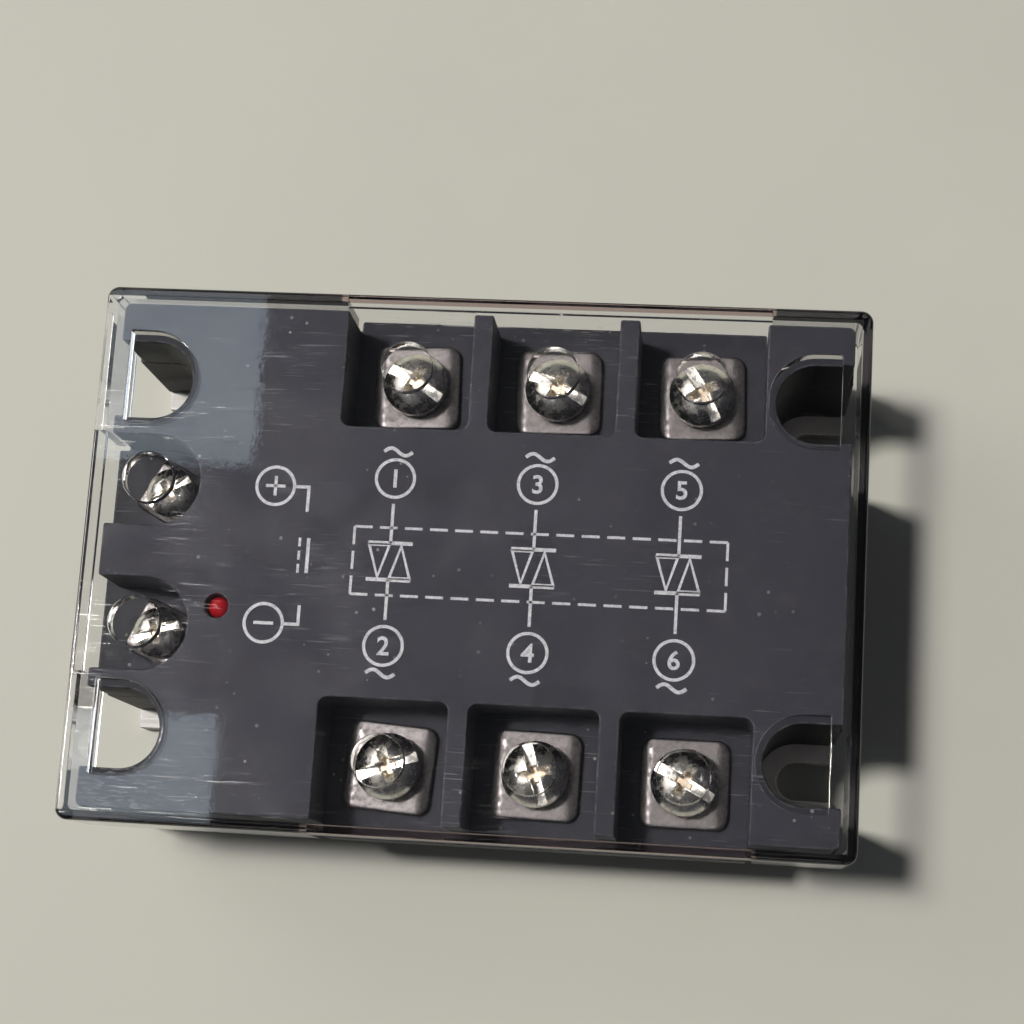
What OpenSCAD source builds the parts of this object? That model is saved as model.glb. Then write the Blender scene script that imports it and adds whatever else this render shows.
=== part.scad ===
// Three-pole solid state relay: an aluminium base plate, a two-part black case with six
// load terminals and two control terminals, and a clear lift-off cover.
// The origin is the centre of the footprint, at the underside of the base plate.
// X runs along the length, Y across the width and Z up. All sizes are in millimetres.

/* [Overall size] */
// Length over the clear cover
overall_l = 105; // [103:0.5:130]
// Width over the clear cover
overall_w = 73.4; // [72:0.1:92]
// Height from the mounting surface to the top of the cover
overall_h = 33; // [32:0.5:40]

/* [Base plate] */
// Thickness of the aluminium base plate
plate_t = 3; // [2:0.1:4]
// Distance from the cover's outer face in to the edge of the base plate
plate_inset = 2.1; // [1.9:0.1:3]
// Width of the open-ended mounting slots
slot_w = 5.3; // [4.2:0.1:6]
// Distance from the end of the cover in to the slots' inner arc centre
slot_end = 7.1; // [6.5:0.1:8]
// Distance across the width between the two rows of mounting slots
slot_pitch = 48.2; // [46:0.1:58]

/* [Case] */
// Height of the seam between the lower case and the upper housing
seam_z = 19.7; // [18:0.1:21]
// Distance from the cover's outer face in to the side of the lower case
case_inset = 1.7; // [1.6:0.1:1.85]
// Gap between the cover's skirt and the upper housing at the two ends
end_gap = 0.9; // [0.5:0.1:1.2]
// Gap between the cover's skirt and the upper housing at the two long sides
side_gap = 0.6; // [0.4:0.1:0.9]
// Radius of the round-ended mounting recesses in the case
recess_r = 5.35; // [4.8:0.05:5.6]
// Wall thickness of the upper housing's roof
roof_t = 2; // [1.5:0.1:2.4]
// Wall between the terminal bays and the inner chamber
bay_wall = 1.5; // [1.2:0.1:2]
// Inset of the terminal shelves from the cover's outer face
shelf_inset = 0.25; // [0.1:0.05:0.6]
// Depth of the terminal shelves below the seam
shelf_drop = 9; // [6:0.5:12]

/* [Load terminals] */
// Distance between neighbouring load terminals
load_pitch = 20; // [19.5:0.1:21]
// X position of the middle load terminal
load_x = 10; // [9:0.1:10.2]
// Distance from the side of the cover in to the load screws
load_edge = 10; // [9.6:0.1:10.6]
// Width of one load terminal bay
bay_w = 17.3; // [15:0.1:17.8]
// Distance from the side of the cover in to the inner wall of a bay
bay_depth = 18.2; // [17.6:0.1:19]
// Corner radius of a bay
bay_r = 1.2; // [0.5:0.1:2]
// Side of the square clamp plates
load_clamp_w = 12; // [10:0.1:14.4]
// Diameter of the load screws' pan heads
load_head_d = 9; // [7.5:0.1:10.8]
// Thread diameter of the load screws
load_screw_d = 5; // [4:0.1:5.2]
// Thread pitch of the load screws, which sets their rise per turn
load_thread = 0.8; // [0.7:0.05:0.9]
// Length of the load screws under the head
load_screw_l = 11; // [10:0.5:12]

/* [Control terminals] */
// Distance from the end of the cover in to the control screws
control_edge = 8.8; // [8.6:0.1:9.2]
// Distance across the width between the two control screws
control_pitch = 19.8; // [19.6:0.1:20.2]
// Radius of the round-ended control recesses
control_r = 6.3; // [5.8:0.1:6.5]
// Side of the square control clamp plates
control_clamp_w = 8; // [7:0.1:8.4]
// Diameter of the control screws' pan heads
control_head_d = 7; // [6:0.1:7.4]
// Thread diameter of the control screws
control_screw_d = 3.5; // [3:0.1:4]
// Length of the control screws under the head
control_screw_l = 9; // [8:0.5:10]

/* [Cover] */
// Thickness of the cover's top
cover_t = 2.4; // [1.8:0.1:2.8]
// Thickness of the cover's skirts
skirt_t = 1.3; // [1:0.05:1.4]
// Corner radius of the cover
cover_r = 1.6; // [1:0.1:2.5]
// Depth of the lip that is left above the terminal cut-outs
lip_drop = 1.4; // [0.6:0.1:2]
// Diameter of the screwdriver holes in the cover
access_d = 6.9; // [6:0.1:7.6]
// Width of the strip of cover that closes each mounting recess at the end
end_strip = 3.9; // [3.4:0.1:4.5]
// Extra radius of the cover's mounting openings over the case's recesses
opening_margin = 1; // [0.4:0.1:1.4]

/* [Indicator] */
// Diameter of the indicator's dome
led_d = 3; // [2.8:0.1:3.4]
// Distance from the end of the cover in to the indicator
led_end = 18.9; // [18:0.1:21]
// Y position of the indicator
led_y = -7.1; // [-8:0.1:-6]

/* [Hidden] */
$fn = 48;
eps = 0.01;
gap = 0.05;          // running gap between a screw and what it turns in or on
cover_rest_gap = 0.1; // between the top of the housing and the underside of the cover
half_l = overall_l / 2;
half_w = overall_w / 2;
cover_under_z = overall_h - cover_t;
housing_top = cover_under_z - cover_rest_gap;
housing_half_l = half_l - skirt_t - end_gap;
housing_half_w = half_w - skirt_t - side_gap;
case_half_l = half_l - case_inset;
case_half_w = half_w - case_inset;
skirt_bottom = seam_z + 0.5;
lip_bottom = cover_under_z - lip_drop;

load_y = half_w - load_edge;
bay_inner_y = half_w - bay_depth;
bay_margin = 0.5;    // from the outer bay walls to the ends of the cover's cut-outs
bays_x0 = load_x - load_pitch - bay_w / 2;
bays_x1 = load_x + load_pitch + bay_w / 2;
control_x = -half_l + control_edge;
control_y = control_pitch / 2;
control_access_shift = 0.6; // the cover's control holes sit this far towards the end
cutout_half_w = control_y + control_r + bay_margin;
notch_x = half_l - slot_end;
notch_y = slot_pitch / 2;
led_x = -half_l + led_end;
led_clearance = 0.1;

// inner chamber, shared by both halves of the case: it ends between the recesses at the
// plain end, and its sides clear both the bays and the recesses
chamber_end_wall = 4.95;
chamber_x0 = control_x + control_r + bay_wall;
chamber_x1 = half_l - chamber_end_wall;
chamber_half_y = min(bay_inner_y, notch_y - recess_r) - bay_wall;
chamber_top = housing_top - roof_t;

// case details
shelf_slope = 3;     // fall of a shelf's underside from its edge to the case
shelf_root = 1;      // how far a shelf runs into the case
rib_w = 6;           // catch ribs that hold the cover's skirts
rib_h = 1.2;
rib_clearance = 0.2; // from a rib to the cover's skirt
housing_r = 1;
rib_x = half_l - 12;
plate_r = 1;
case_r = 1.2;

// terminal stack, from the shelf up
strap_t = 1;
strap_w = 10.4;      // side of the pad under the clamp plate, and width of the step behind it
strap_drop = 3.2;    // from the pad down to the run that is moulded into the case
strap_foot = 3;      // length of a strap's foot on the ceramic
well_end_gap = 1.5;  // below the tip of a screw that is fully down
load_clamp_z = seam_z + gap;
load_clamp_t = 1.2;
load_washer_t = 1.2;
load_head_z = load_clamp_z + load_clamp_t + load_washer_t + gap;
load_head_h = 3.6;
load_nut_af = 8;
load_nut_h = 4;
load_well_depth = load_screw_l - (load_head_z - seam_z) + well_end_gap;
tab_t = 0.8;
tab_pad = 6.4;       // side of the pad under the control clamp plate
tab_pad_r = 1.6;
tab_w = 3;
tab_step = 4;        // from the screw to the inner face of the step behind the nut
tab_drop = 2.4;
tab_pin_w = 1.2;
tab_pin_inset = 1;   // from the chamber's wall to a tab's pin
tab_inner = chamber_x0 + tab_pin_inset + tab_t - control_x; // from the screw to the pin's far face
control_clamp_t = 0.9;
control_washer_t = 0.9;
control_head_z = seam_z + gap + control_clamp_t + control_washer_t + gap;
control_head_h = 2.6;
control_nut_af = 6;
control_nut_h = 2.8;
control_nut_turn = 30; // turns a flat of the nut to the step of its tab
control_well_depth = control_screw_l - (control_head_z - seam_z) + well_end_gap;
hole_play = 0.25;    // radial play of a screw in a clamp plate, strap or case

// inside the chamber
ceramic_l = 17;
ceramic_margin = 0.6;
ceramic_w = 2 * (chamber_half_y - ceramic_margin);
ceramic_t = 1;
die_w = 8;
die_y = 5.2;
die_t = 0.6;
pin_x = 4.8;
pin_d = 0.8;
potting_t = 7;
potting_gap = 0.1;
leg_y = chamber_half_y - 1.8;
leg_w = 6;
board_t = 1.6;
board_margin = 0.6;
board_top = chamber_top - 3.5;
board_z = board_top - board_t;
coupler_l = 8.8;
coupler_w = 6.4;
coupler_y = 3;
component_h = 3;
resistor_l = 3.2;
resistor_w = 1.6;
resistor_h = 0.8;
resistor_step = 4;
resistor_y = -9;
capacitor_d = 4;
capacitor_x = led_x + 6;
capacitor_y = 10;
snubber_l = 10;
snubber_w = 5;
snubber_h = 9;
snubber_shift = -6;
fixing_d = 3;
fixing_head_d = 5.6;
fixing_l = 10;
fixing_play = 0.15;  // radial play of the case screws in the plate
fixing_tip_gap = 0.5;
fixing_x = [load_x - load_pitch - 16, load_x + load_pitch / 2];

// name, X, Y, angle of the clamp plate and angle of the driver slot
LOAD = [
    ["line_1", load_x - load_pitch, load_y, 2, -30],
    ["line_2", load_x, load_y, 1, -25],
    ["line_3", load_x + load_pitch, load_y, 2, -61],
    ["load_1", load_x - load_pitch, -load_y, -4, 21],
    ["load_2", load_x, -load_y, -1, -72],
    ["load_3", load_x + load_pitch, -load_y, 0, -28],
];
CONTROL = [
    ["plus", control_x, control_y, 62, 35],
    ["minus", control_x, -control_y, 66, 20],
];
function names(rows, parts) = [for (row = rows, part = parts) str(row[0], "_", part)];

// ---- shapes that repeat ----

// A block centred in X and Y with round upright corners.
module rounded_block(length, width, height, radius) {
    for (x = [-1, 1], y = [-1, 1])
        translate([x * (length / 2 - radius), y * (width / 2 - radius), 0])
            cylinder(r = radius, h = height);
    translate([-length / 2, -width / 2 + radius, 0]) cube([length, width - 2 * radius, height]);
    translate([-length / 2 + radius, -width / 2, 0]) cube([length - 2 * radius, width, height]);
}

// An upright slot with a round inner end at the origin, running out along +X.
module open_slot(radius, reach, height) {
    cylinder(r = radius, h = height);
    translate([0, -radius, 0]) cube([reach, 2 * radius, height]);
}

// The four mounting corners, each turned so that +X points out of the nearer end.
module at_notches() {
    for (y = [-1, 1]) {
        translate([notch_x, y * notch_y, 0]) children();
        translate([-notch_x, y * notch_y, 0]) mirror([1, 0, 0]) children();
    }
}

module notches(radius, z0, z1) {
    at_notches() translate([0, 0, z0]) open_slot(radius, slot_end + 1, z1 - z0);
}

// A hexagonal prism measured across its flats, which face along Y before it is turned.
module hexagon(across_flats, height, turn = 0) {
    rotate([0, 0, turn]) cylinder(d = across_flats / cos(30), h = height, $fn = 6);
}

// The pocket under one terminal: a nut seat and a well for the screw's tip.
module terminal_well(screw_d, nut_af, nut_h, top_t, depth, turn = 0) {
    translate([0, 0, seam_z - depth]) cylinder(d = screw_d + 2 * hole_play, h = depth + eps);
    translate([0, 0, seam_z - top_t - nut_h]) hexagon(nut_af, nut_h + eps, turn);
}

// The plan of one load bay, open towards +Y, measured from its screw.
module bay_cut(z0, z1) {
    inner = load_y - bay_inner_y;
    outer = load_edge + 2;
    for (x = [-1, 1])
        translate([x * (bay_w / 2 - bay_r), bay_r - inner, z0])
            cylinder(r = bay_r, h = z1 - z0);
    translate([bay_r - bay_w / 2, -inner, z0]) cube([bay_w - 2 * bay_r, outer, z1 - z0]);
    translate([-bay_w / 2, bay_r - inner, z0]) cube([bay_w, outer + inner, z1 - z0]);
}

// The six load terminals, each turned so that +Y points out of its side.
module at_load() {
    for (row = LOAD)
        translate([row[1], row[2], 0]) mirror([0, row[2] < 0 ? 1 : 0, 0]) children();
}

module at_control() {
    for (row = CONTROL) translate([row[1], row[2], 0]) mirror([1, 0, 0]) children();
}

// ---- base and case ----

module base_plate() {
    color("silver")
    difference() {
        rounded_block(overall_l - 2 * plate_inset, overall_w - 2 * plate_inset, plate_t, plate_r);
        at_notches() translate([0, 0, -eps]) open_slot(slot_w / 2, slot_end + 1, plate_t + 2 * eps);
        for (x = fixing_x, y = [-1, 1]) translate([x, y * load_y, -eps]) {
            cylinder(d = fixing_d + 2 * fixing_play, h = plate_t + 2 * eps);
            cylinder(d1 = fixing_head_d + 2 * fixing_play, d2 = fixing_d + 2 * fixing_play,
                     h = (fixing_head_d - fixing_d) / 2);
        }
    }
}

// One terminal shelf: a ledge with a sloping underside, standing out along +Y from y = 0.
module shelf(length, reach) {
    translate([-length / 2, 0, seam_z]) rotate([90, 0, 90])
        linear_extrude(height = length)
            polygon([[-shelf_root, 0], [reach, 0], [reach, shelf_slope - shelf_drop],
                     [-shelf_root, -shelf_drop - shelf_slope]]);
}

module lower_case() {
    reach = case_inset - shelf_inset;
    color("dimgray")
    difference() {
        union() {
            translate([0, 0, plate_t])
                rounded_block(2 * case_half_l, 2 * case_half_w, seam_z - plate_t, case_r);
            for (y = [0, 1]) mirror([0, y, 0])
                translate([load_x, case_half_w, 0]) shelf(bays_x1 - bays_x0, reach);
            translate([-case_half_l, 0, 0]) rotate([0, 0, 90])
                shelf(2 * (control_y + control_r), reach);
        }
        notches(recess_r, plate_t - eps, seam_z + eps);
        translate([chamber_x0, -chamber_half_y, plate_t - eps])
            cube([chamber_x1 - chamber_x0, 2 * chamber_half_y, seam_z]);
        at_load() {
            terminal_well(load_screw_d, load_nut_af, load_nut_h, strap_t, load_well_depth);
            strap_run(eps / 10);
        }
        at_control() {
            terminal_well(control_screw_d, control_nut_af, control_nut_h, tab_t, control_well_depth,
                          control_nut_turn);
            tab_run(eps / 10);
        }
        for (x = fixing_x, y = [-1, 1])
            translate([x, y * load_y, plate_t - eps])
                cylinder(d = fixing_d, h = fixing_l - plate_t + fixing_tip_gap);
    }
}

module upper_housing() {
    height = housing_top - seam_z;
    rib_t = side_gap - rib_clearance;
    color("#3c3c44")
    difference() {
        union() {
            translate([0, 0, seam_z])
                rounded_block(2 * housing_half_l, 2 * housing_half_w, height, housing_r);
            // catch ribs that the cover's skirts slide over
            for (x = [-1, 1], y = [0, 1]) mirror([0, y, 0])
                translate([x * rib_x - rib_w / 2, housing_half_w - eps, skirt_bottom + rib_h])
                    cube([rib_w, rib_t + eps, rib_h]);
        }
        notches(recess_r, seam_z - eps, housing_top + eps);
        translate([chamber_x0, -chamber_half_y, seam_z - eps])
            cube([chamber_x1 - chamber_x0, 2 * chamber_half_y, chamber_top - seam_z]);
        at_load() bay_cut(seam_z - eps, housing_top + eps);
        at_control() translate([0, 0, seam_z - eps])
            open_slot(control_r, control_edge + 1, height + 2 * eps);
        translate([led_x, led_y, seam_z])
            cylinder(d = led_d + 2 * led_clearance, h = height + eps);
    }
}

// ---- clear cover ----

// The case's mounting recess as the cover leaves it open: round inside, straight at the end strip.
module cover_opening() {
    radius = recess_r + opening_margin;
    reach = slot_end - end_strip;
    height = cover_t + 2 * eps;
    translate([0, 0, cover_under_z - eps]) {
        difference() {
            cylinder(r = radius, h = height);
            translate([reach, -radius - 1, -1]) cube([radius, 2 * radius + 2, height + 2]);
        }
        translate([0, -radius, 0]) cube([reach, 2 * radius, height]);
    }
}

module clear_cover() {
    depth = overall_h - skirt_bottom;
    color("lightblue", 0.4)
    difference() {
        translate([0, 0, skirt_bottom]) rounded_block(overall_l, overall_w, depth, cover_r);
        translate([0, 0, skirt_bottom - eps])
            rounded_block(overall_l - 2 * skirt_t, overall_w - 2 * skirt_t,
                          cover_under_z - skirt_bottom + eps, cover_r - skirt_t / 2);
        at_notches() cover_opening();
        // cut-outs that let wires in to the load terminals and the control terminals
        translate([bays_x0 - bay_margin, -half_w - 1, skirt_bottom - eps])
            cube([bays_x1 - bays_x0 + 2 * bay_margin, overall_w + 2, lip_bottom - skirt_bottom + eps]);
        translate([-half_l - 1, -cutout_half_w, skirt_bottom - eps])
            cube([skirt_t + 2, 2 * cutout_half_w, lip_bottom - skirt_bottom + eps]);
        for (row = LOAD)
            translate([row[1], row[2], cover_under_z - eps])
                cylinder(d = access_d, h = cover_t + 2 * eps);
        for (row = CONTROL)
            translate([row[1] - control_access_shift, row[2], cover_under_z - eps])
                cylinder(d = access_d, h = cover_t + 2 * eps);
    }
}

// ---- terminals ----

// A square plate with round corners and a hole for its screw.
module clamp_plate(width, thickness, hole_d, angle) {
    corner = width * 0.14;
    rotate([0, 0, angle])
    difference() {
        rounded_block(width, width, thickness, corner);
        translate([0, 0, -eps]) cylinder(d = hole_d, h = thickness + 2 * eps);
    }
}

// A split spring washer, with its gap along +X.
module spring_washer(inner_d, outer_d, thickness, angle) {
    split = 0.5;
    rotate([0, 0, angle])
    difference() {
        cylinder(d = outer_d, h = thickness);
        translate([0, 0, -eps]) cylinder(d = inner_d, h = thickness + 2 * eps);
        translate([0, -split / 2, -eps]) cube([outer_d, split, thickness + 2 * eps]);
    }
}

// A pan-head screw with a cross recess and a driver slot, head underside at z = 0.
module pan_screw(shank_d, shank_l, head_d, head_h, angle) {
    edge_h = head_h * 0.35;
    rise = head_h - edge_h;
    sphere_r = (head_d * head_d / 4 + rise * rise) / (2 * rise);
    tip = 0.5;
    slot = head_d * 0.15;
    arm = head_d * 0.56;
    difference() {
        union() {
            cylinder(d = head_d, h = edge_h);
            intersection() {
                translate([0, 0, head_h - sphere_r]) sphere(r = sphere_r);
                translate([0, 0, edge_h - eps]) cylinder(d = head_d, h = rise + 1);
            }
            translate([0, 0, tip - shank_l]) cylinder(d = shank_d, h = shank_l - tip + eps);
            translate([0, 0, -shank_l]) cylinder(d1 = shank_d - 2 * tip, d2 = shank_d, h = tip);
        }
        rotate([0, 0, angle]) {
            translate([-head_d, -slot / 2, head_h * 0.62]) cube([2 * head_d, slot, head_h]);
            for (turn = [0, 90]) rotate([0, 0, turn])
                translate([-arm / 2, -slot * 0.55, head_h * 0.4]) cube([arm, slot * 1.1, head_h]);
        }
    }
}

module load_clamp(row) {
    color("gainsboro") translate([row[1], row[2], load_clamp_z])
        clamp_plate(load_clamp_w, load_clamp_t, load_screw_d + 2 * hole_play, row[3]);
}

module load_washer(row) {
    color("lightgray") translate([row[1], row[2], load_clamp_z + load_clamp_t])
        spring_washer(load_screw_d + 2 * gap, load_head_d - 0.4, load_washer_t, row[4] + 200);
}

module load_screw(row) {
    color("white") translate([row[1], row[2], load_head_z])
        pan_screw(load_screw_d, load_screw_l, load_head_d, load_head_h, row[4]);
}

// What the case is moulded around of one load strap, in a frame whose +Y points out of the
// side: the pad flush with the shelf, the step down and the run in to the chamber.
module strap_run(over = 0) {
    inner = load_y - leg_y;
    half = strap_w / 2;
    translate([-half, -half, seam_z - strap_t]) cube([strap_w, strap_w, strap_t + over]);
    translate([-half, -half, seam_z - strap_drop - strap_t])
        cube([strap_w, strap_t, strap_drop + strap_t - eps]);
    translate([-half, -inner, seam_z - strap_drop - strap_t])
        cube([strap_w, inner - half + strap_t, strap_t]);
}

module load_strap(row) {
    inner = load_y - leg_y;
    foot_z = plate_t + ceramic_t;
    color("goldenrod") translate([row[1], row[2], 0]) mirror([0, row[2] < 0 ? 1 : 0, 0])
    difference() {
        union() {
            strap_run();
            translate([-leg_w / 2, -inner, foot_z])
                cube([leg_w, strap_t, seam_z - strap_drop - foot_z - eps]);
            translate([-leg_w / 2, -inner - strap_foot, foot_z])
                cube([leg_w, strap_foot + eps, strap_t]);
        }
        translate([0, 0, seam_z - strap_t - eps])
            cylinder(d = load_screw_d + 2 * hole_play, h = strap_t + 2 * eps);
    }
}

module load_nut(row) {
    color("silver") translate([row[1], row[2], seam_z - strap_t - load_nut_h])
    difference() {
        hexagon(load_nut_af, load_nut_h);
        translate([0, 0, -eps]) cylinder(d = load_screw_d + 2 * gap, h = load_nut_h + 2 * eps);
    }
}

module control_clamp(row) {
    color("gainsboro") translate([row[1], row[2], seam_z + gap])
        clamp_plate(control_clamp_w, control_clamp_t, control_screw_d + 2 * hole_play, row[3]);
}

module control_washer(row) {
    color("lightgray") translate([row[1], row[2], seam_z + gap + control_clamp_t])
        spring_washer(control_screw_d + 2 * gap, control_head_d - 0.4, control_washer_t, row[4] + 120);
}

module control_screw(row) {
    color("white") translate([row[1], row[2], control_head_z])
        pan_screw(control_screw_d, control_screw_l, control_head_d, control_head_h, row[4]);
}

// What the case is moulded around of one control tab, in a frame whose +X points out of the
// end: the pad flush with the floor of the recess, the step down and the run in to the chamber.
module tab_run(over = 0) {
    translate([0, 0, seam_z - tab_t]) rounded_block(tab_pad, tab_pad, tab_t + over, tab_pad_r);
    translate([-tab_step, -tab_w / 2, seam_z - tab_t]) cube([tab_step, tab_w, tab_t + over]);
    translate([-tab_step, -tab_w / 2, seam_z - tab_drop - tab_t])
        cube([tab_t, tab_w, tab_drop + tab_t - eps]);
    translate([-tab_inner, -tab_w / 2, seam_z - tab_drop - tab_t])
        cube([tab_inner - tab_step + tab_t, tab_w, tab_t]);
}

module control_tab(row) {
    color("goldenrod") translate([row[1], row[2], 0]) mirror([1, 0, 0])
    difference() {
        union() {
            tab_run();
            translate([-tab_inner, -tab_pin_w / 2, seam_z - tab_drop - eps])
                cube([tab_t, tab_pin_w, board_z - seam_z + tab_drop + eps]);
        }
        translate([0, 0, seam_z - tab_t - eps])
            cylinder(d = control_screw_d + 2 * hole_play, h = tab_t + 2 * eps);
    }
}

module control_nut(row) {
    color("silver") translate([row[1], row[2], seam_z - tab_t - control_nut_h])
    difference() {
        hexagon(control_nut_af, control_nut_h, control_nut_turn);
        translate([0, 0, -eps]) cylinder(d = control_screw_d + 2 * gap, h = control_nut_h + 2 * eps);
    }
}

// ---- inside the chamber ----

function phase_x(phase) = load_x + (phase - 2) * load_pitch;

module ceramic(phase) {
    color("white") translate([phase_x(phase) - ceramic_l / 2, -ceramic_w / 2, plate_t])
        cube([ceramic_l, ceramic_w, ceramic_t]);
}

module thyristors(phase) {
    color("dimgray")
    for (y = [-1, 1])
        translate([phase_x(phase) - die_w / 2, y * die_y - die_w / 2, plate_t + ceramic_t])
            cube([die_w, die_w, die_t]);
}

module gate_pins() {
    foot_z = plate_t + ceramic_t;
    color("gold")
    for (phase = [1, 2, 3], y = [-1, 1])
        translate([phase_x(phase) + pin_x, y * die_y, foot_z]) cylinder(d = pin_d, h = board_z - foot_z);
}

module potting() {
    color("honeydew")
    difference() {
        translate([chamber_x0, -chamber_half_y, plate_t])
            cube([chamber_x1 - chamber_x0, 2 * chamber_half_y, potting_t]);
        for (phase = [1, 2, 3]) {
            translate([phase_x(phase) - ceramic_l / 2, -ceramic_w / 2, plate_t - eps])
                cube([ceramic_l, ceramic_w, ceramic_t + die_t + eps]);
        }
        at_load()
            translate([-leg_w / 2 - potting_gap, leg_y - load_y - strap_foot - potting_gap, plate_t - eps])
                cube([leg_w + 2 * potting_gap, strap_foot + strap_t + 2 * potting_gap, potting_t + 1]);
        for (phase = [1, 2, 3], y = [-1, 1])
            translate([phase_x(phase) + pin_x, y * die_y, plate_t])
                cylinder(d = pin_d + 2 * potting_gap, h = potting_t + 1);
    }
}

module circuit_board() {
    color("darkgreen")
    translate([chamber_x0 + board_margin, board_margin - chamber_half_y, board_z])
        cube([chamber_x1 - chamber_x0 - 2 * board_margin, 2 * (chamber_half_y - board_margin), board_t]);
}

module optocouplers() {
    color("white")
    for (phase = [1, 2, 3])
        translate([phase_x(phase) - coupler_l / 2, coupler_y, board_top])
            cube([coupler_l, coupler_w, component_h]);
}

// Resistors in a row and two small capacitors, standing on the board.
module board_parts() {
    color("tan") {
        for (phase = [1, 2, 3], step = [-1, 0, 1])
            translate([phase_x(phase) + step * resistor_step - resistor_l / 2, resistor_y, board_top])
                cube([resistor_l, resistor_w, resistor_h]);
        for (y = [-1, 1])
            translate([capacitor_x, y * capacitor_y, board_top]) cylinder(d = capacitor_d, h = component_h);
    }
}

module snubbers() {
    color("royalblue")
    for (phase = [1, 2, 3])
        translate([phase_x(phase) + snubber_shift, -snubber_w / 2, board_z - snubber_h])
            cube([snubber_l, snubber_w, snubber_h]);
}

module indicator() {
    flange_d = led_d + 0.8;
    dome_z = housing_top - 0.5 - led_d / 2;
    color("red") translate([led_x, led_y, 0]) {
        translate([0, 0, board_top]) cylinder(d = flange_d, h = 1);
        translate([0, 0, board_top + 1 - eps]) cylinder(d = led_d, h = dome_z - board_top - 1 + eps);
        translate([0, 0, dome_z]) sphere(d = led_d);
    }
}

module case_screws() {
    head_h = (fixing_head_d - fixing_d) / 2;
    color("silver")
    for (x = fixing_x, y = [-1, 1]) translate([x, y * load_y, 0])
    difference() {
        union() {
            cylinder(d1 = fixing_head_d, d2 = fixing_d, h = head_h);
            translate([0, 0, head_h - eps]) cylinder(d = fixing_d, h = fixing_l - head_h);
        }
        for (turn = [0, 90]) rotate([0, 0, turn])
            translate([-1.5, -0.4, -eps]) cube([3, 0.8, 1]);
    }
}

// ---- what is drawn ----

base_plate();
lower_case();
upper_housing();
clear_cover();
for (row = LOAD) {
    load_clamp(row);
    load_washer(row);
    load_screw(row);
    load_strap(row);
    load_nut(row);
}
for (row = CONTROL) {
    control_clamp(row);
    control_washer(row);
    control_screw(row);
    control_tab(row);
    control_nut(row);
}
for (phase = [1, 2, 3]) {
    ceramic(phase);
    thyristors(phase);
}
potting();
circuit_board();
optocouplers();
board_parts();
snubbers();
gate_pins();
indicator();
case_screws();
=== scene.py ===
"""The looks of a three-pole solid state relay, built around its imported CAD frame.

Lengths in the code are in metres; a size given in millimetres is multiplied by MM.
"""
import math

import bmesh
import bpy
from bpy.props import FloatProperty, FloatVectorProperty, PointerProperty
from mathutils import Matrix, Vector


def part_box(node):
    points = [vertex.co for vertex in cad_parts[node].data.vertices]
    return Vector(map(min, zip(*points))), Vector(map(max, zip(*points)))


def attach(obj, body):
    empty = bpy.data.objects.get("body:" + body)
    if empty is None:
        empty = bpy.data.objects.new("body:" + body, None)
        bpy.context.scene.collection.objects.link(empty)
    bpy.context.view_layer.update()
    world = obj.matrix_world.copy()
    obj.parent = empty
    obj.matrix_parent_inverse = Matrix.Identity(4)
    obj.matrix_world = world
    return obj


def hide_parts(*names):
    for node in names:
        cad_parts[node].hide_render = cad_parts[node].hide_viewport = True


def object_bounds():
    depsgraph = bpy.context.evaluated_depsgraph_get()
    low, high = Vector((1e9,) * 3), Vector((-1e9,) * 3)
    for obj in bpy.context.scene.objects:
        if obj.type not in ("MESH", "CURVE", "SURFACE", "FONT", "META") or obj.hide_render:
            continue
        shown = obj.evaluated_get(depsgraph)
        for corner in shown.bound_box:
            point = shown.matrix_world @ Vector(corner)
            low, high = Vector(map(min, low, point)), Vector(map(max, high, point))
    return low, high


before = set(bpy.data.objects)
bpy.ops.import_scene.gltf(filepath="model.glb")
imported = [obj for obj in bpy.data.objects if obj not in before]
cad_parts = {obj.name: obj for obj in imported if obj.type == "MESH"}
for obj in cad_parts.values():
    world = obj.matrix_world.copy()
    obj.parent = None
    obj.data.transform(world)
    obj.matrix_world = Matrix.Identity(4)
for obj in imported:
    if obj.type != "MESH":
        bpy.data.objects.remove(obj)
cad_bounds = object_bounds()

bl_info = {
    "name": "Solid State Relay",
    "version": (1, 0, 0),
    "blender": (4, 5, 0),
    "location": "View3D > Sidebar > Relay",
    "description": "Adds the clear cover, case, terminals, markings and stage of a three-pole relay",
    "category": "Add Mesh",
}

MM = 0.001
LOAD_TERMINALS = ("line_1", "line_2", "line_3", "load_1", "load_2", "load_3")
CONTROL_TERMINALS = ("plus", "minus")

# how each terminal was left: the clamp plate's and the driver slot's angles, in degrees
CLAMP_ANGLES = dict(line_1=2, line_2=1, line_3=2, load_1=-4, load_2=-1, load_3=0, plus=62, minus=66)
SLOT_ANGLES = dict(line_1=-30, line_2=-25, line_3=-61, load_1=21, load_2=-72, load_3=-28, plus=35, minus=20)


# ---- sizes and colours that a user would change ----


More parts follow.
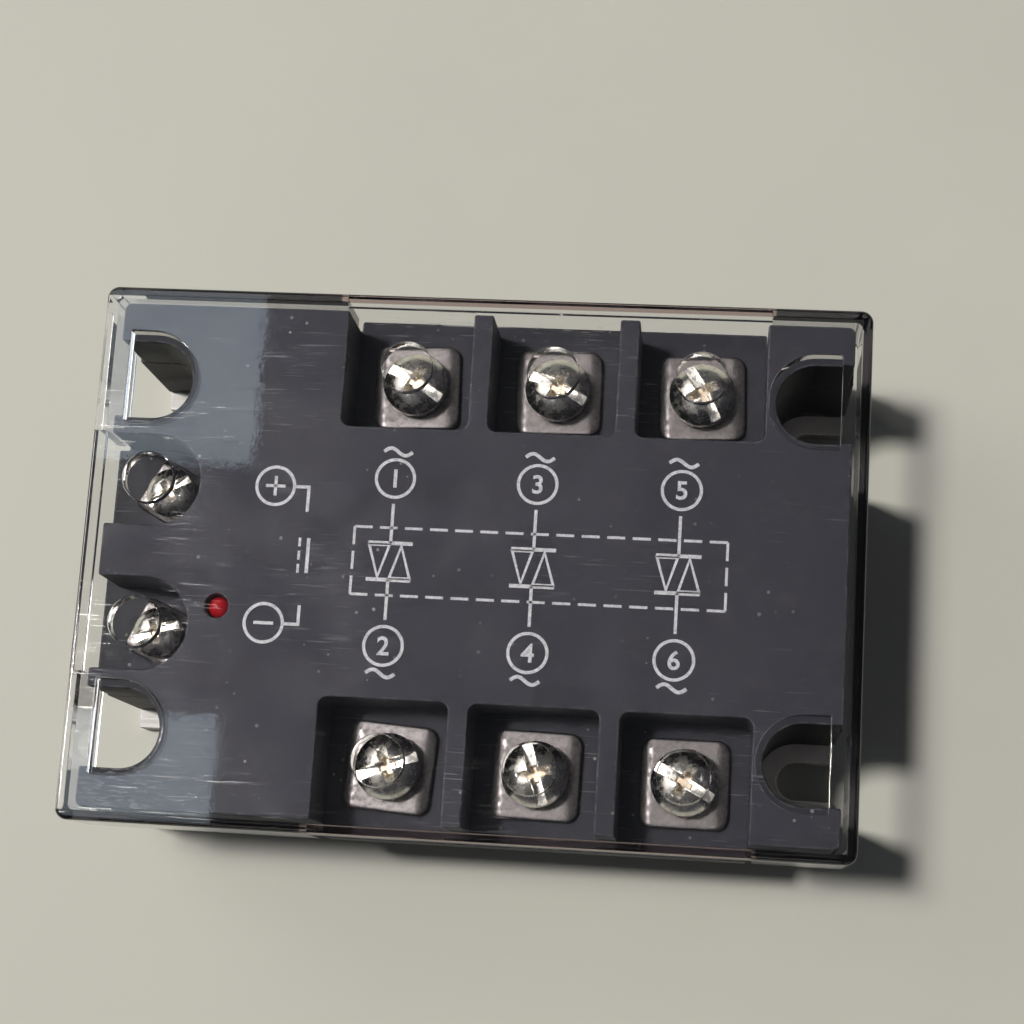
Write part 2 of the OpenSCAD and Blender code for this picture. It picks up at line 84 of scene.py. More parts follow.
class RelaySizes(bpy.types.PropertyGroup):
    """Edge rounding and small relief that the CAD frame leaves out."""

    cover_rim_radius: FloatProperty(
        name="Cover rim radius", description="Rounding of the clear cover's outer top edge",
        default=0.55 * MM, min=0.1 * MM, max=1.2 * MM, unit="LENGTH")
    cover_edge_radius: FloatProperty(
        name="Cover edge radius", description="Rounding of the cover's holes and cut-outs",
        default=0.12 * MM, min=0.02 * MM, max=0.4 * MM, unit="LENGTH")
    case_edge_radius: FloatProperty(
        name="Case edge radius", description="Rounding of the edges of the moulded case",
        default=0.28 * MM, min=0.05 * MM, max=0.6 * MM, unit="LENGTH")
    plate_edge_radius: FloatProperty(
        name="Plate edge radius", description="Rounding of the aluminium base plate's edges",
        default=0.2 * MM, min=0.05 * MM, max=0.5 * MM, unit="LENGTH")
    clamp_thickness: FloatProperty(
        name="Clamp sheet", description="Sheet thickness of the load clamp plates",
        default=0.85 * MM, min=0.5 * MM, max=1.2 * MM, unit="LENGTH")
    thread_depth: FloatProperty(
        name="Thread depth", description="Depth of the thread on the load screws",
        default=0.42 * MM, min=0.1 * MM, max=0.6 * MM, unit="LENGTH")
    ink_thickness: FloatProperty(
        name="Ink thickness", description="Height of the printed marks above the housing",
        default=0.02 * MM, min=0.005 * MM, max=0.05 * MM, unit="LENGTH")
    stroke_width: FloatProperty(
        name="Stroke width", description="Width of the printed lines",
        default=0.42 * MM, min=0.2 * MM, max=0.8 * MM, unit="LENGTH")


class RelayFinish(bpy.types.PropertyGroup):
    """Colours and wear of the relay's materials."""

    case_colour: FloatVectorProperty(
        name="Case", description="Colour of the moulded case",
        default=(0.0145, 0.0152, 0.0225), size=3, min=0, max=1, subtype="COLOR")
    cover_colour: FloatVectorProperty(
        name="Cover", description="Tint of the clear cover",
        default=(0.93, 0.925, 0.94), size=3, min=0, max=1, subtype="COLOR")
    ink_colour: FloatVectorProperty(
        name="Ink", description="Colour of the printed marks",
        default=(0.9, 0.91, 0.93), size=3, min=0, max=1, subtype="COLOR")
    wear: FloatProperty(
        name="Wear", description="How worn edges and surfaces are",
        default=0.7, min=0, max=1, subtype="FACTOR")
    dust: FloatProperty(
        name="Dust", description="How much dust has settled on the case",
        default=0.6, min=0, max=1, subtype="FACTOR")


class RelayStage(bpy.types.PropertyGroup):
    """Floor, lights and camera."""

    floor_colour: FloatVectorProperty(
        name="Floor", description="Colour of the floor",
        default=(0.6, 0.6, 0.535), size=3, min=0, max=1, subtype="COLOR")
    key_strength: FloatProperty(
        name="Key light", description="Strength of the main light from the left",
        default=2.35, min=0, max=20)
    key_softness: FloatProperty(
        name="Key softness", description="Angular size of the main light",
        default=math.radians(6.5), min=0, max=1, subtype="ANGLE")
    sky_strength: FloatProperty(
        name="Sky", description="Strength of the even light all round",
        default=0.055, min=0, max=5)
    softbox_power: FloatProperty(
        name="Softbox power", description="Power of the large soft box that the screws mirror",
        default=0.9, min=0, max=50, unit="POWER")
    panel_power: FloatProperty(
        name="Panel power", description="Power of each soft panel that the cover mirrors",
        default=0.044, min=0, max=50, unit="POWER")
    lens: FloatProperty(
        name="Lens", description="Focal length of the camera",
        default=74.25, min=10, max=300, unit="CAMERA")


# ---- shader helpers ----


def add_node(tree, kind, inputs=None, **settings):
    """Adds a node; an input value that is a socket is linked, and any other is set."""
    node = tree.nodes.new(kind)
    for key, value in settings.items():
        setattr(node, key, value)
    for key, value in (inputs or {}).items():
        if isinstance(value, bpy.types.NodeSocket):
            tree.links.new(value, node.inputs[key])
        else:
            node.inputs[key].default_value = value
    return node


def do_math(tree, operation, first, second=0.0, clamp=False):
    """A Math node's result."""
    node = add_node(tree, "ShaderNodeMath", {0: first, 1: second}, operation=operation, use_clamp=clamp)
    return node.outputs[0]


def multiply(tree, *factors, clamp=False):
    """The product of two or more values."""
    product = factors[0]
    for factor in factors[1:-1]:
        product = do_math(tree, "MULTIPLY", product, factor)
    return do_math(tree, "MULTIPLY", product, factors[-1], clamp)


def remap(tree, value, low, high, to_low=0.0, to_high=1.0):
    """A value stretched from low..high to to_low..to_high, with smooth ends."""
    node = add_node(
        tree, "ShaderNodeMapRange",
        {"Value": value, "From Min": low, "From Max": high, "To Min": to_low, "To Max": to_high},
        interpolation_type="SMOOTHSTEP")
    return node.outputs[0]


def mix_colour(tree, factor, first, second):
    """Two colours mixed by a factor."""
    node = add_node(tree, "ShaderNodeMix", data_type="RGBA")
    for index, value in ((0, factor), (6, first), (7, second)):
        if isinstance(value, bpy.types.NodeSocket):
            tree.links.new(value, node.inputs[index])
        elif index == 0:
            node.inputs[index].default_value = value
        else:
            node.inputs[index].default_value = (*value[:3], 1)
    return node.outputs[2]


def tint(tree, below, mask, colour, share=1.0):
    """A colour laid over another where a mask is, at a share of its strength."""
    return mix_colour(tree, mask if share == 1.0 else multiply(tree, mask, share), below, colour)


def noise(tree, vector, scale, detail=3.0, roughness=0.55):
    """A noise texture's value."""
    node = add_node(
        tree, "ShaderNodeTexNoise",
        {"Vector": vector, "Scale": scale, "Detail": detail, "Roughness": roughness})
    return node.outputs[0]


def piece_coords(tree):
    """Coordinates fixed to the piece, in metres."""
    return add_node(tree, "ShaderNodeTexCoord").outputs["Object"]


def stretched(tree, vector, turn, stretch):
    """Coordinates turned about Z and squeezed, so that a texture runs in long streaks."""
    return add_node(
        tree, "ShaderNodeMapping",
        {"Vector": vector, "Rotation": (0, 0, math.radians(turn)), "Scale": stretch}).outputs[0]


def new_group(name, inputs, outputs):
    """An empty shader node group with float inputs and outputs; returns the tree and its two ends."""
    tree = bpy.data.node_groups.new(name, "ShaderNodeTree")
    for socket, default in inputs:
        made = tree.interface.new_socket(name=socket, in_out="INPUT", socket_type="NodeSocketFloat")
        made.default_value = default
    for socket in outputs:
        tree.interface.new_socket(name=socket, in_out="OUTPUT", socket_type="NodeSocketFloat")
    start = tree.nodes.new("NodeGroupInput")
    end = tree.nodes.new("NodeGroupOutput")
    return tree, start.outputs, end.inputs


def moulded_grain_group():
    """The fine grain and soft unevenness of a moulded or rolled surface."""
    tree, given, out = new_group(
        "Moulded grain", [("Scale", 1.0), ("Patch scale", 1.0)], ["Height", "Patches"])
    coords = piece_coords(tree)
    fine = noise(tree, coords, multiply(tree, given["Scale"], 9000.0), 2.0)
    coarse = noise(tree, coords, multiply(tree, given["Scale"], 2600.0), 3.0)
    tree.links.new(do_math(tree, "ADD", multiply(tree, fine, 0.6), coarse), out["Height"])
    patches = noise(tree, coords, multiply(tree, given["Patch scale"], 70.0), 4.0, 0.6)
    tree.links.new(remap(tree, patches, 0.32, 0.7), out["Patches"])
    return tree


def scratches_group():
    """Hairline scratches in three directions, gathered in patches."""
    tree, given, out = new_group(
        "Hairline scratches", [("Scale", 1.0), ("Amount", 0.5)], ["Mask"])
    coords = piece_coords(tree)
    total = None
    for turn, width, cut in ((4.0, 26.0, 0.69), (82.0, 34.0, 0.7), (-38.0, 18.0, 0.715)):
        streaks = noise(
            tree, stretched(tree, coords, turn, (1.0, width, 1.0)),
            multiply(tree, given["Scale"], 110.0), 2.0, 0.4)
        lines = remap(tree, streaks, cut, cut + 0.035)
        total = lines if total is None else do_math(tree, "MAXIMUM", total, lines)
    patches = remap(tree, noise(tree, coords, 45.0, 2.0), 0.42, 0.62)
    mask = multiply(tree, total, patches, given["Amount"], clamp=True)
    tree.links.new(mask, out["Mask"])
    return tree


def edge_wear_group():
    """Wear on rounded edges, broken up by noise. The mesh marks its rounded edges."""
    tree, given, out = new_group("Edge wear", [("Scale", 1.0), ("Amount", 0.5)], ["Mask"])
    marked = add_node(tree, "ShaderNodeAttribute", attribute_name="rounded_edge").outputs["Fac"]
    spots = noise(tree, piece_coords(tree), multiply(tree, given["Scale"], 700.0), 4.0, 0.65)
    broken = remap(tree, spots, 0.35, 0.72)
    mask = multiply(tree, marked, broken, given["Amount"], clamp=True)
    tree.links.new(mask, out["Mask"])
    return tree


def dust_group():
    """Small specks of dust of uneven size, and a thin film where it gathers."""
    tree, given, out = new_group("Dust", [("Scale", 1.0), ("Amount", 0.5)], ["Specks", "Film"])
    coords = piece_coords(tree)
    cells = add_node(
        tree, "ShaderNodeTexVoronoi",
        {"Vector": coords, "Scale": multiply(tree, given["Scale"], 900.0)})
    chance = add_node(tree, "ShaderNodeSeparateColor", {0: cells.outputs["Color"]}).outputs[0]
    size = remap(tree, chance, 0.8, 1.0, 0.0, 0.22)
    near = do_math(tree, "LESS_THAN", cells.outputs["Distance"], size)
    gathered = remap(tree, noise(tree, coords, 60.0, 4.0, 0.6), 0.4, 0.65)
    tree.links.new(multiply(tree, near, gathered, given["Amount"], clamp=True), out["Specks"])
    film = remap(tree, noise(tree, coords, 160.0, 5.0, 0.65), 0.45, 0.8)
    tree.links.new(multiply(tree, film, given["Amount"], clamp=True), out["Film"])
    return tree


GROUP_MAKERS = {
    "Moulded grain": moulded_grain_group,
    "Hairline scratches": scratches_group,
    "Edge wear": edge_wear_group,
    "Dust": dust_group,
}


def effect(tree, name, **inputs):
    """Places a shared effect in a material, making its group the first time. Returns its outputs."""
    group = bpy.data.node_groups.get(name) or GROUP_MAKERS[name]()
    node = add_node(tree, "ShaderNodeGroup", node_tree=group)
    for key, value in inputs.items():
        node.inputs[key.replace("_", " ").capitalize()].default_value = value
    return node.outputs


def new_material(name):
    """A material with a lone Principled shader; returns it with its tree and shader."""
    material = bpy.data.materials.new(name)
    material.use_nodes = True
    tree = material.node_tree
    return material, tree, tree.nodes["Principled BSDF"]


def feed(tree, shader, **values):
    """Sets or links a shader's inputs, named with underscores for spaces."""
    for key, value in values.items():
        socket = shader.inputs[key.replace("_", " ")]
        if isinstance(value, bpy.types.NodeSocket):
            tree.links.new(value, socket)
        elif socket.type == "RGBA":
            socket.default_value = (*value[:3], 1)
        else:
            socket.default_value = value


def feed_bump(tree, shader, height, distance, strength=1.0):
    """Leads a height into the shader's normal through a Bump node."""
    bump = add_node(tree, "ShaderNodeBump", {"Height": height, "Distance": distance, "Strength": strength})
    tree.links.new(bump.outputs[0], shader.inputs["Normal"])


# ---- materials ----


def scuffed_corner(tree):
    """Short scuffs that crowd the near corner at the control end."""
    coords = piece_coords(tree)
    low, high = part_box("upper_housing")
    near = add_node(tree, "ShaderNodeVectorMath", {0: coords, 1: (low.x + 5 * MM, low.y + 2 * MM, high.z)},
                    operation="DISTANCE").outputs["Value"]
    fade = remap(tree, near, 3 * MM, 12 * MM, 1.0, 0.0)
    marks = None
    for turn in (12.0, -33.0):
        streaks = noise(tree, stretched(tree, coords, turn, (1.0, 5.0, 1.0)), 620.0, 3.0, 0.6)
        lines = remap(tree, streaks, 0.56, 0.66)
        marks = lines if marks is None else do_math(tree, "MAXIMUM", marks, lines)
    return multiply(tree, marks, 0.6, fade)


def black_plastic():
    """Moulded charcoal plastic: fine grain, hairlines, pale worn edges and a little dust."""
    finish = bpy.context.scene.relay_finish
    material, tree, shader = new_material("moulded_black_plastic")
    grain = effect(tree, "Moulded grain", scale=1.0, patch_scale=1.0)
    lines = effect(tree, "Hairline scratches", scale=1.0, amount=finish.wear)["Mask"]
    worn = effect(tree, "Edge wear", scale=1.0, amount=finish.wear)["Mask"]
    dust = effect(tree, "Dust", scale=1.0, amount=finish.dust)
    dark = finish.case_colour
    light = [min(1.0, 1.35 * value + 0.006) for value in dark]
    colour = mix_colour(tree, grain["Patches"], dark, light)
    colour = tint(tree, colour, lines, (0.28, 0.28, 0.3), 0.55)
    colour = tint(tree, colour, worn, (0.2, 0.2, 0.22), 0.5)
    colour = tint(tree, colour, dust["Film"], (0.4, 0.39, 0.37), 0.1)
    colour = tint(tree, colour, dust["Specks"], (0.55, 0.54, 0.5))
    colour = tint(tree, colour, scuffed_corner(tree), (0.24, 0.24, 0.26))
    rough = do_math(tree, "ADD", remap(tree, grain["Patches"], 0, 1, 0.52, 0.62),
                    multiply(tree, dust["Film"], 0.2))
    feed(tree, shader, Base_Color=colour, Roughness=rough, Specular_IOR_Level=0.22)
    height = do_math(tree, "SUBTRACT", grain["Height"], multiply(tree, lines, 1.5))
    feed_bump(tree, shader, height, 0.012 * MM)
    return material


def painted_rim_shade_masks(tree, high):
    """Where a skirt stands below the cover's top, and where that skirt is cut away to a lip: the masks of
    the painted shade on the rim.
    """
    spot = add_node(tree, "ShaderNodeSeparateXYZ", {0: piece_coords(tree)}).outputs
    skirt = 1.35 * MM
    rim_depth = 0.9 * MM
    lip_start = 5.0 * MM  # beyond the outermost terminal screws
    blur = 0.2 * MM
    across = do_math(tree, "SUBTRACT", do_math(tree, "ABSOLUTE", spot[1]), high.y - skirt)
    along = do_math(tree, "SUBTRACT", spot[0], high.x - skirt)
    over = do_math(tree, "MAXIMUM", across, along)
    near_top = do_math(tree, "GREATER_THAN", spot[2], high.z - rim_depth)
    rim = multiply(tree, remap(tree, over, -0.08 * MM, 0.08 * MM), near_top)
    low_bay, high_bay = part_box("line_1_screw")[0].x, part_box("line_3_screw")[1].x
    low_edge, high_edge = low_bay - lip_start, high_bay + lip_start
    start = remap(tree, spot[0], low_edge - blur, low_edge + blur)
    stop = remap(tree, spot[0], high_edge - blur, high_edge + blur, 1.0, 0.0)
    return rim, multiply(tree, start, stop)


def clear_plastic():
    """Clear, faintly tinted plastic with hairlines, and a band of painted shade along the top of its
    skirts. Lamps and bounced light pass straight through.
    """
    finish = bpy.context.scene.relay_finish
    material, tree, shader = new_material("clear_plastic")
    lines = effect(tree, "Hairline scratches", scale=1.3, amount=finish.wear)["Mask"]
    grain = effect(tree, "Moulded grain", scale=0.12, patch_scale=0.8)
    rough = do_math(tree, "ADD", remap(tree, grain["Patches"], 0.0, 1.0, 0.01, 0.03),
                    multiply(tree, lines, 0.25))
    low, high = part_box("clear_cover")
    rim, lip = painted_rim_shade_masks(tree, high)
    # painted shade: near black where the top shows the shaded skirt beneath it, mauve-brown over the lips
    painted_rim_shade = mix_colour(tree, lip, (0.012, 0.011, 0.014), (0.3, 0.2, 0.19))
    tone = mix_colour(tree, rim, finish.cover_colour, painted_rim_shade)
    feed(tree, shader, Base_Color=tone, Roughness=rough, Metallic=0.0,
         Transmission_Weight=1.0, IOR=1.5)
    feed_bump(tree, shader, do_math(tree, "SUBTRACT", grain["Height"], lines), 0.006 * MM, 0.6)
    path = add_node(tree, "ShaderNodeLightPath")
    straight = do_math(tree, "MAXIMUM", path.outputs["Is Shadow Ray"], path.outputs["Is Diffuse Ray"])
    tinted = add_node(tree, "ShaderNodeBsdfTransparent", {"Color": (0.88, 0.875, 0.89, 1)})
    mix = add_node(tree, "ShaderNodeMixShader", {0: straight, 1: shader.outputs[0], 2: tinted.outputs[0]})
    tree.links.new(mix.outputs[0], tree.nodes["Material Output"].inputs["Surface"])
    return material


def plated_metal(name, colour, dull, rough, patch, scratch, bump, recess_brown=0.0):
    """Plated or polished metal: tone patches, hairlines, bright worn edges and a brown tint in the driver
    recesses.
    """
    wear = bpy.context.scene.relay_finish.wear
    material, tree, shader = new_material(name)
    grain = effect(tree, "Moulded grain", scale=0.5, patch_scale=patch)
    lines = effect(tree, "Hairline scratches", scale=4.0, amount=scratch)["Mask"]
    worn = effect(tree, "Edge wear", scale=1.6, amount=wear)["Mask"]
    tone = mix_colour(tree, grain["Patches"], colour, dull)
    bright = [min(1, 1.15 * value) for value in colour]
    tone = tint(tree, tone, worn, bright, 0.6)
    shine = remap(tree, grain["Patches"], 0.0, 1.0, rough, rough * 1.7)
    shine = do_math(tree, "ADD", shine, multiply(tree, lines, 0.18))
    if recess_brown:
        # the faces inside the slot and cross recess are tinted browner and darker
        recess = add_node(tree, "ShaderNodeAttribute", attribute_name="recess").outputs["Fac"]
        spots = remap(tree, noise(tree, piece_coords(tree), 1500.0, 4.0, 0.6), 0.3, 0.6, 0.45, 1.0)
        brown = multiply(tree, recess, spots, recess_brown)
        tone = tint(tree, tone, brown, (0.36, 0.24, 0.1))
        shine = do_math(tree, "ADD", shine, multiply(tree, brown, 0.15))
    feed(tree, shader, Base_Color=tone, Metallic=1.0, Roughness=shine)
    height = do_math(tree, "SUBTRACT", multiply(tree, grain["Height"], 0.6), lines)
    feed_bump(tree, shader, height, bump * MM)
    return material


def brushed_aluminium():
    """Rolled aluminium plate with brushing along its length and small nicks."""
    material, tree, shader = new_material("brushed_aluminium")
    coords = piece_coords(tree)
    brushed = noise(tree, stretched(tree, coords, 0, (1.0, 60.0, 60.0)), 120.0, 4.0, 0.6)
    grain = effect(tree, "Moulded grain", scale=0.7, patch_scale=1.4)
    worn = effect(tree, "Edge wear", scale=1.0, amount=0.7)["Mask"]
    tone = mix_colour(tree, brushed, (0.44, 0.43, 0.42), (0.62, 0.61, 0.6))
    tone = tint(tree, tone, grain["Patches"], (0.4, 0.38, 0.36), 0.4)
    tone = tint(tree, tone, worn, (0.8, 0.8, 0.8))
    feed(tree, shader, Base_Color=tone, Metallic=1.0,
         Roughness=remap(tree, brushed, 0.3, 0.7, 0.6, 0.74))
    feed_bump(tree, shader, do_math(tree, "ADD", brushed, grain["Height"]), 0.01 * MM)
    return material


def coated(name, colour, second, rough, bump, spots, scale=1.0, coat=0.0):
    """A painted, dipped, fired or moulded surface with two close tones and a grain."""
    material, tree, shader = new_material(name)
    grain = effect(tree, "Moulded grain", scale=scale, patch_scale=3.0 * scale)
    dust = effect(tree, "Dust", scale=2.0, amount=spots)
    worn = effect(tree, "Edge wear", scale=2.0, amount=0.4)["Mask"]
    tone = mix_colour(tree, grain["Patches"], colour, second)
    tone = tint(tree, tone, dust["Specks"], [0.5 * value for value in colour])
    pale = [min(1, 1.4 * value + 0.05) for value in colour]
    tone = tint(tree, tone, worn, pale, 0.4)
    feed(tree, shader, Base_Color=tone, Coat_Weight=coat,
         Roughness=remap(tree, grain["Patches"], 0.0, 1.0, rough, min(1.0, rough * 1.35)))
    feed_bump(tree, shader, grain["Height"], bump * MM)
    return material


def red_lens():
    """Red tinted epoxy with a glossy skin and slight streaks inside."""
    material, tree, shader = new_material("red_epoxy_lens")
    coords = piece_coords(tree)
    streaks = noise(tree, stretched(tree, coords, 20, (1.0, 1.0, 0.3)), 900.0, 3.0)
    tone = mix_colour(tree, streaks, (0.42, 0.004, 0.012), (0.85, 0.02, 0.03))
    feed(tree, shader, Base_Color=tone, Roughness=remap(tree, streaks, 0.2, 0.8, 0.06, 0.16),
         Coat_Weight=0.6, Specular_IOR_Level=0.6)
    feed_bump(tree, shader, streaks, 0.01 * MM)
    return material


def printed_ink():
    """White pad-printed ink, thin in places and slightly broken."""
    finish = bpy.context.scene.relay_finish
    material, tree, shader = new_material("white_printed_ink")
    coords = piece_coords(tree)
    thin = remap(tree, noise(tree, coords, 2600.0, 5.0, 0.7), 0.3, 0.62)
    patch = remap(tree, noise(tree, coords, 240.0, 3.0), 0.35, 0.7)
    tone = mix_colour(tree, thin, [0.55 * value for value in finish.ink_colour], finish.ink_colour)
    tone = tint(tree, tone, patch, (0.5, 0.51, 0.54), 0.2)
    feed(tree, shader, Base_Color=tone, Roughness=remap(tree, thin, 0.0, 1.0, 0.6, 0.45))
    feed_bump(tree, shader, thin, 0.006 * MM)
    return material


def circuit_green():
    """Green solder mask over faint copper tracks, with weave showing through."""
    material, tree, shader = new_material("circuit_board_green")
    coords = piece_coords(tree)
    tracks = add_node(
        tree, "ShaderNodeTexBrick",
        {"Vector": coords, "Scale": 160.0, "Mortar Size": 0.07, "Mortar Smooth": 0.2}, offset=0.33)
    weave = add_node(tree, "ShaderNodeTexWave", {"Vector": coords, "Scale": 900.0, "Distortion": 0.6})
    grain = effect(tree, "Moulded grain", scale=1.0, patch_scale=2.0)
    tone = mix_colour(tree, grain["Patches"], (0.01, 0.1, 0.035), (0.015, 0.13, 0.05))
    tone = tint(tree, tone, tracks.outputs["Fac"], (0.04, 0.24, 0.09), 0.6)
    feed(tree, shader, Base_Color=tone, Coat_Weight=0.3,
         Roughness=remap(tree, grain["Patches"], 0, 1, 0.3, 0.42))
    feed_bump(tree, shader, do_math(tree, "ADD", tracks.outputs["Fac"], weave.outputs["Fac"]), 0.02 * MM)
    return material


def silicone_gel():
    """Milky soft silicone with small bubbles near the top."""
    material, tree, shader = new_material("silicone_gel")
    dust = effect(tree, "Dust", scale=1.4, amount=0.8)
    grain = effect(tree, "Moulded grain", scale=0.3, patch_scale=2.0)
    tone = mix_colour(tree, grain["Patches"], (0.66, 0.68, 0.64), (0.78, 0.79, 0.76))
    tone = tint(tree, tone, dust["Specks"], (0.92, 0.93, 0.92))
    feed(tree, shader, Base_Color=tone, Roughness=remap(tree, grain["Patches"], 0, 1, 0.16, 0.3),
         Subsurface_Weight=0.4, Subsurface_Radius=(0.002, 0.002, 0.002))
    feed_bump(tree, shader, do_math(tree, "ADD", grain["Height"], dust["Specks"]), 0.05 * MM)
    return material


def pale_floor():
    """A plain pale floor with a barely uneven tone."""
    colour = bpy.context.scene.relay_stage.floor_colour
    material, tree, shader = new_material("pale_floor")
    soft = noise(tree, piece_coords(tree), 14.0, 5.0, 0.6)
    tone = mix_colour(tree, remap(tree, soft, 0.3, 0.7), [0.97 * value for value in colour],
                      [1.02 * value for value in colour])
    feed(tree, shader, Base_Color=tone, Roughness=remap(tree, soft, 0.3, 0.7, 0.55, 0.65),
         Specular_IOR_Level=0.3)
    feed_bump(tree, shader, noise(tree, piece_coords(tree), 900.0, 3.0), 0.01 * MM, 0.5)
    return material


# material slot -> how its finish is made
FINISHES = {
    "aluminium": brushed_aluminium,
    "black_plastic": black_plastic,
    "clear_plastic": clear_plastic,
    "nickel_plate": lambda: plated_metal(
        "nickel_clamp_plate", (0.175, 0.164, 0.161), (0.1, 0.092, 0.09),
        rough=0.3, patch=20.0, scratch=0.8, bump=0.012),
    "bright_nickel": lambda: plated_metal(
        "bright_nickel_screw", (0.9, 0.88, 0.84), (0.76, 0.72, 0.66),
        rough=0.2, patch=12.0, scratch=0.4, bump=0.004, recess_brown=0.8),
    "zinc_steel": lambda: plated_metal(
        "zinc_steel", (0.42, 0.41, 0.4), (0.3, 0.29, 0.29),
        rough=0.26, patch=10.0, scratch=0.6, bump=0.01),
    "brass": lambda: plated_metal(
        "tinned_brass", (0.78, 0.66, 0.4), (0.6, 0.5, 0.34),
        rough=0.22, patch=5.0, scratch=0.6, bump=0.012),
    "red_lens": red_lens,
    "board": circuit_green,
    "silicone_gel": silicone_gel,
    "white_plastic": lambda: coated(
        "white_coupler_plastic", (0.72, 0.72, 0.7), (0.66, 0.66, 0.63),
        rough=0.42, bump=0.012, spots=0.2, scale=1.2),
    "ceramic_parts": lambda: coated(
        "dipped_ceramic", (0.55, 0.42, 0.24), (0.46, 0.34, 0.19),
        rough=0.38, bump=0.02, spots=0.3, scale=1.6, coat=0.2),
    "blue_coating": lambda: coated(
        "blue_dipped_coating", (0.03, 0.1, 0.36), (0.025, 0.08, 0.3),
        rough=0.24, bump=0.03, spots=0.2, coat=0.4),
    "white_ceramic": lambda: coated(
        "white_ceramic", (0.86, 0.86, 0.84), (0.8, 0.8, 0.78),
        rough=0.32, bump=0.008, spots=0.15, scale=2.0),
    "silicon": lambda: coated(
        "silicon_die", (0.16, 0.165, 0.18), (0.11, 0.115, 0.13),
        rough=0.18, bump=0.004, spots=0.1, scale=1.4, coat=0.3),
    "ink": printed_ink,
    "floor": pale_floor,
}
made_finishes = {}


def finish_for(slot):
    """The material for a slot, made once."""
    if slot not in made_finishes:
        made_finishes[slot] = FINISHES[slot]()
    return made_finishes[slot]


# ---- mesh helpers ----


def smoothstep(value):
    """0 below 0, 1 above 1, and an even curve between."""
    value = min(1.0, max(0.0, value))
    return value * value * (3 - 2 * value)


def weld_from_frame(node):
    """A welded copy of a frame node's mesh, with its flat faces made whole."""
    mesh = bmesh.new()
    mesh.from_mesh(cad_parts[node].data)
    bmesh.ops.remove_doubles(mesh, verts=mesh.verts, dist=0.0002 * MM)
    bmesh.ops.dissolve_limit(
        mesh, angle_limit=math.radians(0.6), verts=mesh.verts, edges=mesh.edges,
        use_dissolve_boundaries=False)
    return mesh


def is_sharp(edge, least):
    """True for an edge between two faces that meet at more than an angle."""
    return len(edge.link_faces) == 2 and edge.calc_face_angle(0.0) > math.radians(least)


def round_edges(mesh, edges, radius, segments=2):
    """Rounds edges, and marks the new faces as worn edges for the materials."""
    mark = mesh.faces.layers.float.get("rounded_edge") or mesh.faces.layers.float.new("rounded_edge")
    made = bmesh.ops.bevel(
        mesh, geom=list(edges), offset=radius, offset_type="OFFSET", segments=segments, profile=0.5,
        affect="EDGES", clamp_overlap=False, miter_outer="ARC")
    for face in made["faces"]:
        face[mark] = 1.0


def mesh_from(mesh, name, sharp=None):
    """A mesh made from a bmesh, which is freed; shaded smooth up to an angle where one is given."""
    bmesh.ops.recalc_face_normals(mesh, faces=mesh.faces)
    if sharp is not None:
        for face in mesh.faces:
            face.smooth = True
        for edge in mesh.edges:
            edge.smooth = not is_sharp(edge, sharp)
    data = bpy.data.meshes.new(name)
    mesh.to_mesh(data)
    mesh.free()
    return data


def to_piece(mesh, name, slot, body, nodes=(), flatten=True):
    """Turns a bmesh into a piece: smooth shading, its finish, its body and the nodes it stands for."""
    return place_piece(mesh_from(mesh, name, sharp=32.0), name, slot, body, nodes, flatten)


def place_piece(data, name, slot, body, nodes=(), flatten=True, place=None):
    """Adds an object for a mesh, at a place in the row frame."""
    piece = bpy.data.objects.new(name, data)
    bpy.context.scene.collection.objects.link(piece)
    if place is not None:
        piece.matrix_world = place
    data.materials.clear()
    data.materials.append(finish_for(slot))
    if flatten:
        normals = piece.modifiers.new("flat faces stay flat", "WEIGHTED_NORMAL")
        normals.keep_sharp = True
    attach(piece, body)
    if nodes:
        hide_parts(*nodes)
    return piece


def add_softened(node, name, slot, body, radius, least=40.0):
    """Adds a frame node's own shape, with the edges that are sharper than an angle rounded."""
    mesh = weld_from_frame(node)
    if radius:
        round_edges(mesh, [edge for edge in mesh.edges if is_sharp(edge, least)], radius)
    to_piece(mesh, name, slot, body, (node,))


def add_ring(mesh, radius, height, segments):
    """Adds a ring of vertices about Z, or a single one where the radius is nothing."""
    if radius < 1e-9:
        return [mesh.verts.new((0, 0, height))]
    turns = [math.tau * i / segments for i in range(segments)]
    return [mesh.verts.new((radius * math.cos(turn), radius * math.sin(turn), height)) for turn in turns]


def skin_rings(mesh, rings, segments):
    """Joins rings of vertices with faces, each ring to the next."""
    for lower, upper in zip(rings, rings[1:]):
        for i in range(segments):
            j = (i + 1) % segments
            corners = [lower[i % len(lower)], lower[j % len(lower)],
                       upper[j % len(upper)], upper[i % len(upper)]]
            mesh.faces.new(list(dict.fromkeys(corners)))


def turned_shape(profile, segments):
    """A closed solid turned about Z from (radius, height) points that run from axis to axis."""
    mesh = bmesh.new()
    skin_rings(mesh, [add_ring(mesh, radius, height, segments) for radius, height in profile], segments)
    return mesh


def arc_points(centre, radius, start, end, count):
    """Points on an arc in a (radius, height) or (x, y) plane, angles in degrees."""
    step = (end - start) / count
    return [
        (centre[0] + radius * math.cos(math.radians(start + step * i)),
         centre[1] + radius * math.sin(math.radians(start + step * i)))
        for i in range(count + 1)]


def add_block(mesh, low, high):
    """Adds a box between two corners and returns its vertices."""
    size = Vector(high) - Vector(low)
    middle = (Vector(high) + Vector(low)) / 2
    place = Matrix.Translation(middle) @ Matrix.Diagonal((*size, 1))
    return bmesh.ops.create_cube(mesh, size=1.0, matrix=place)["verts"]


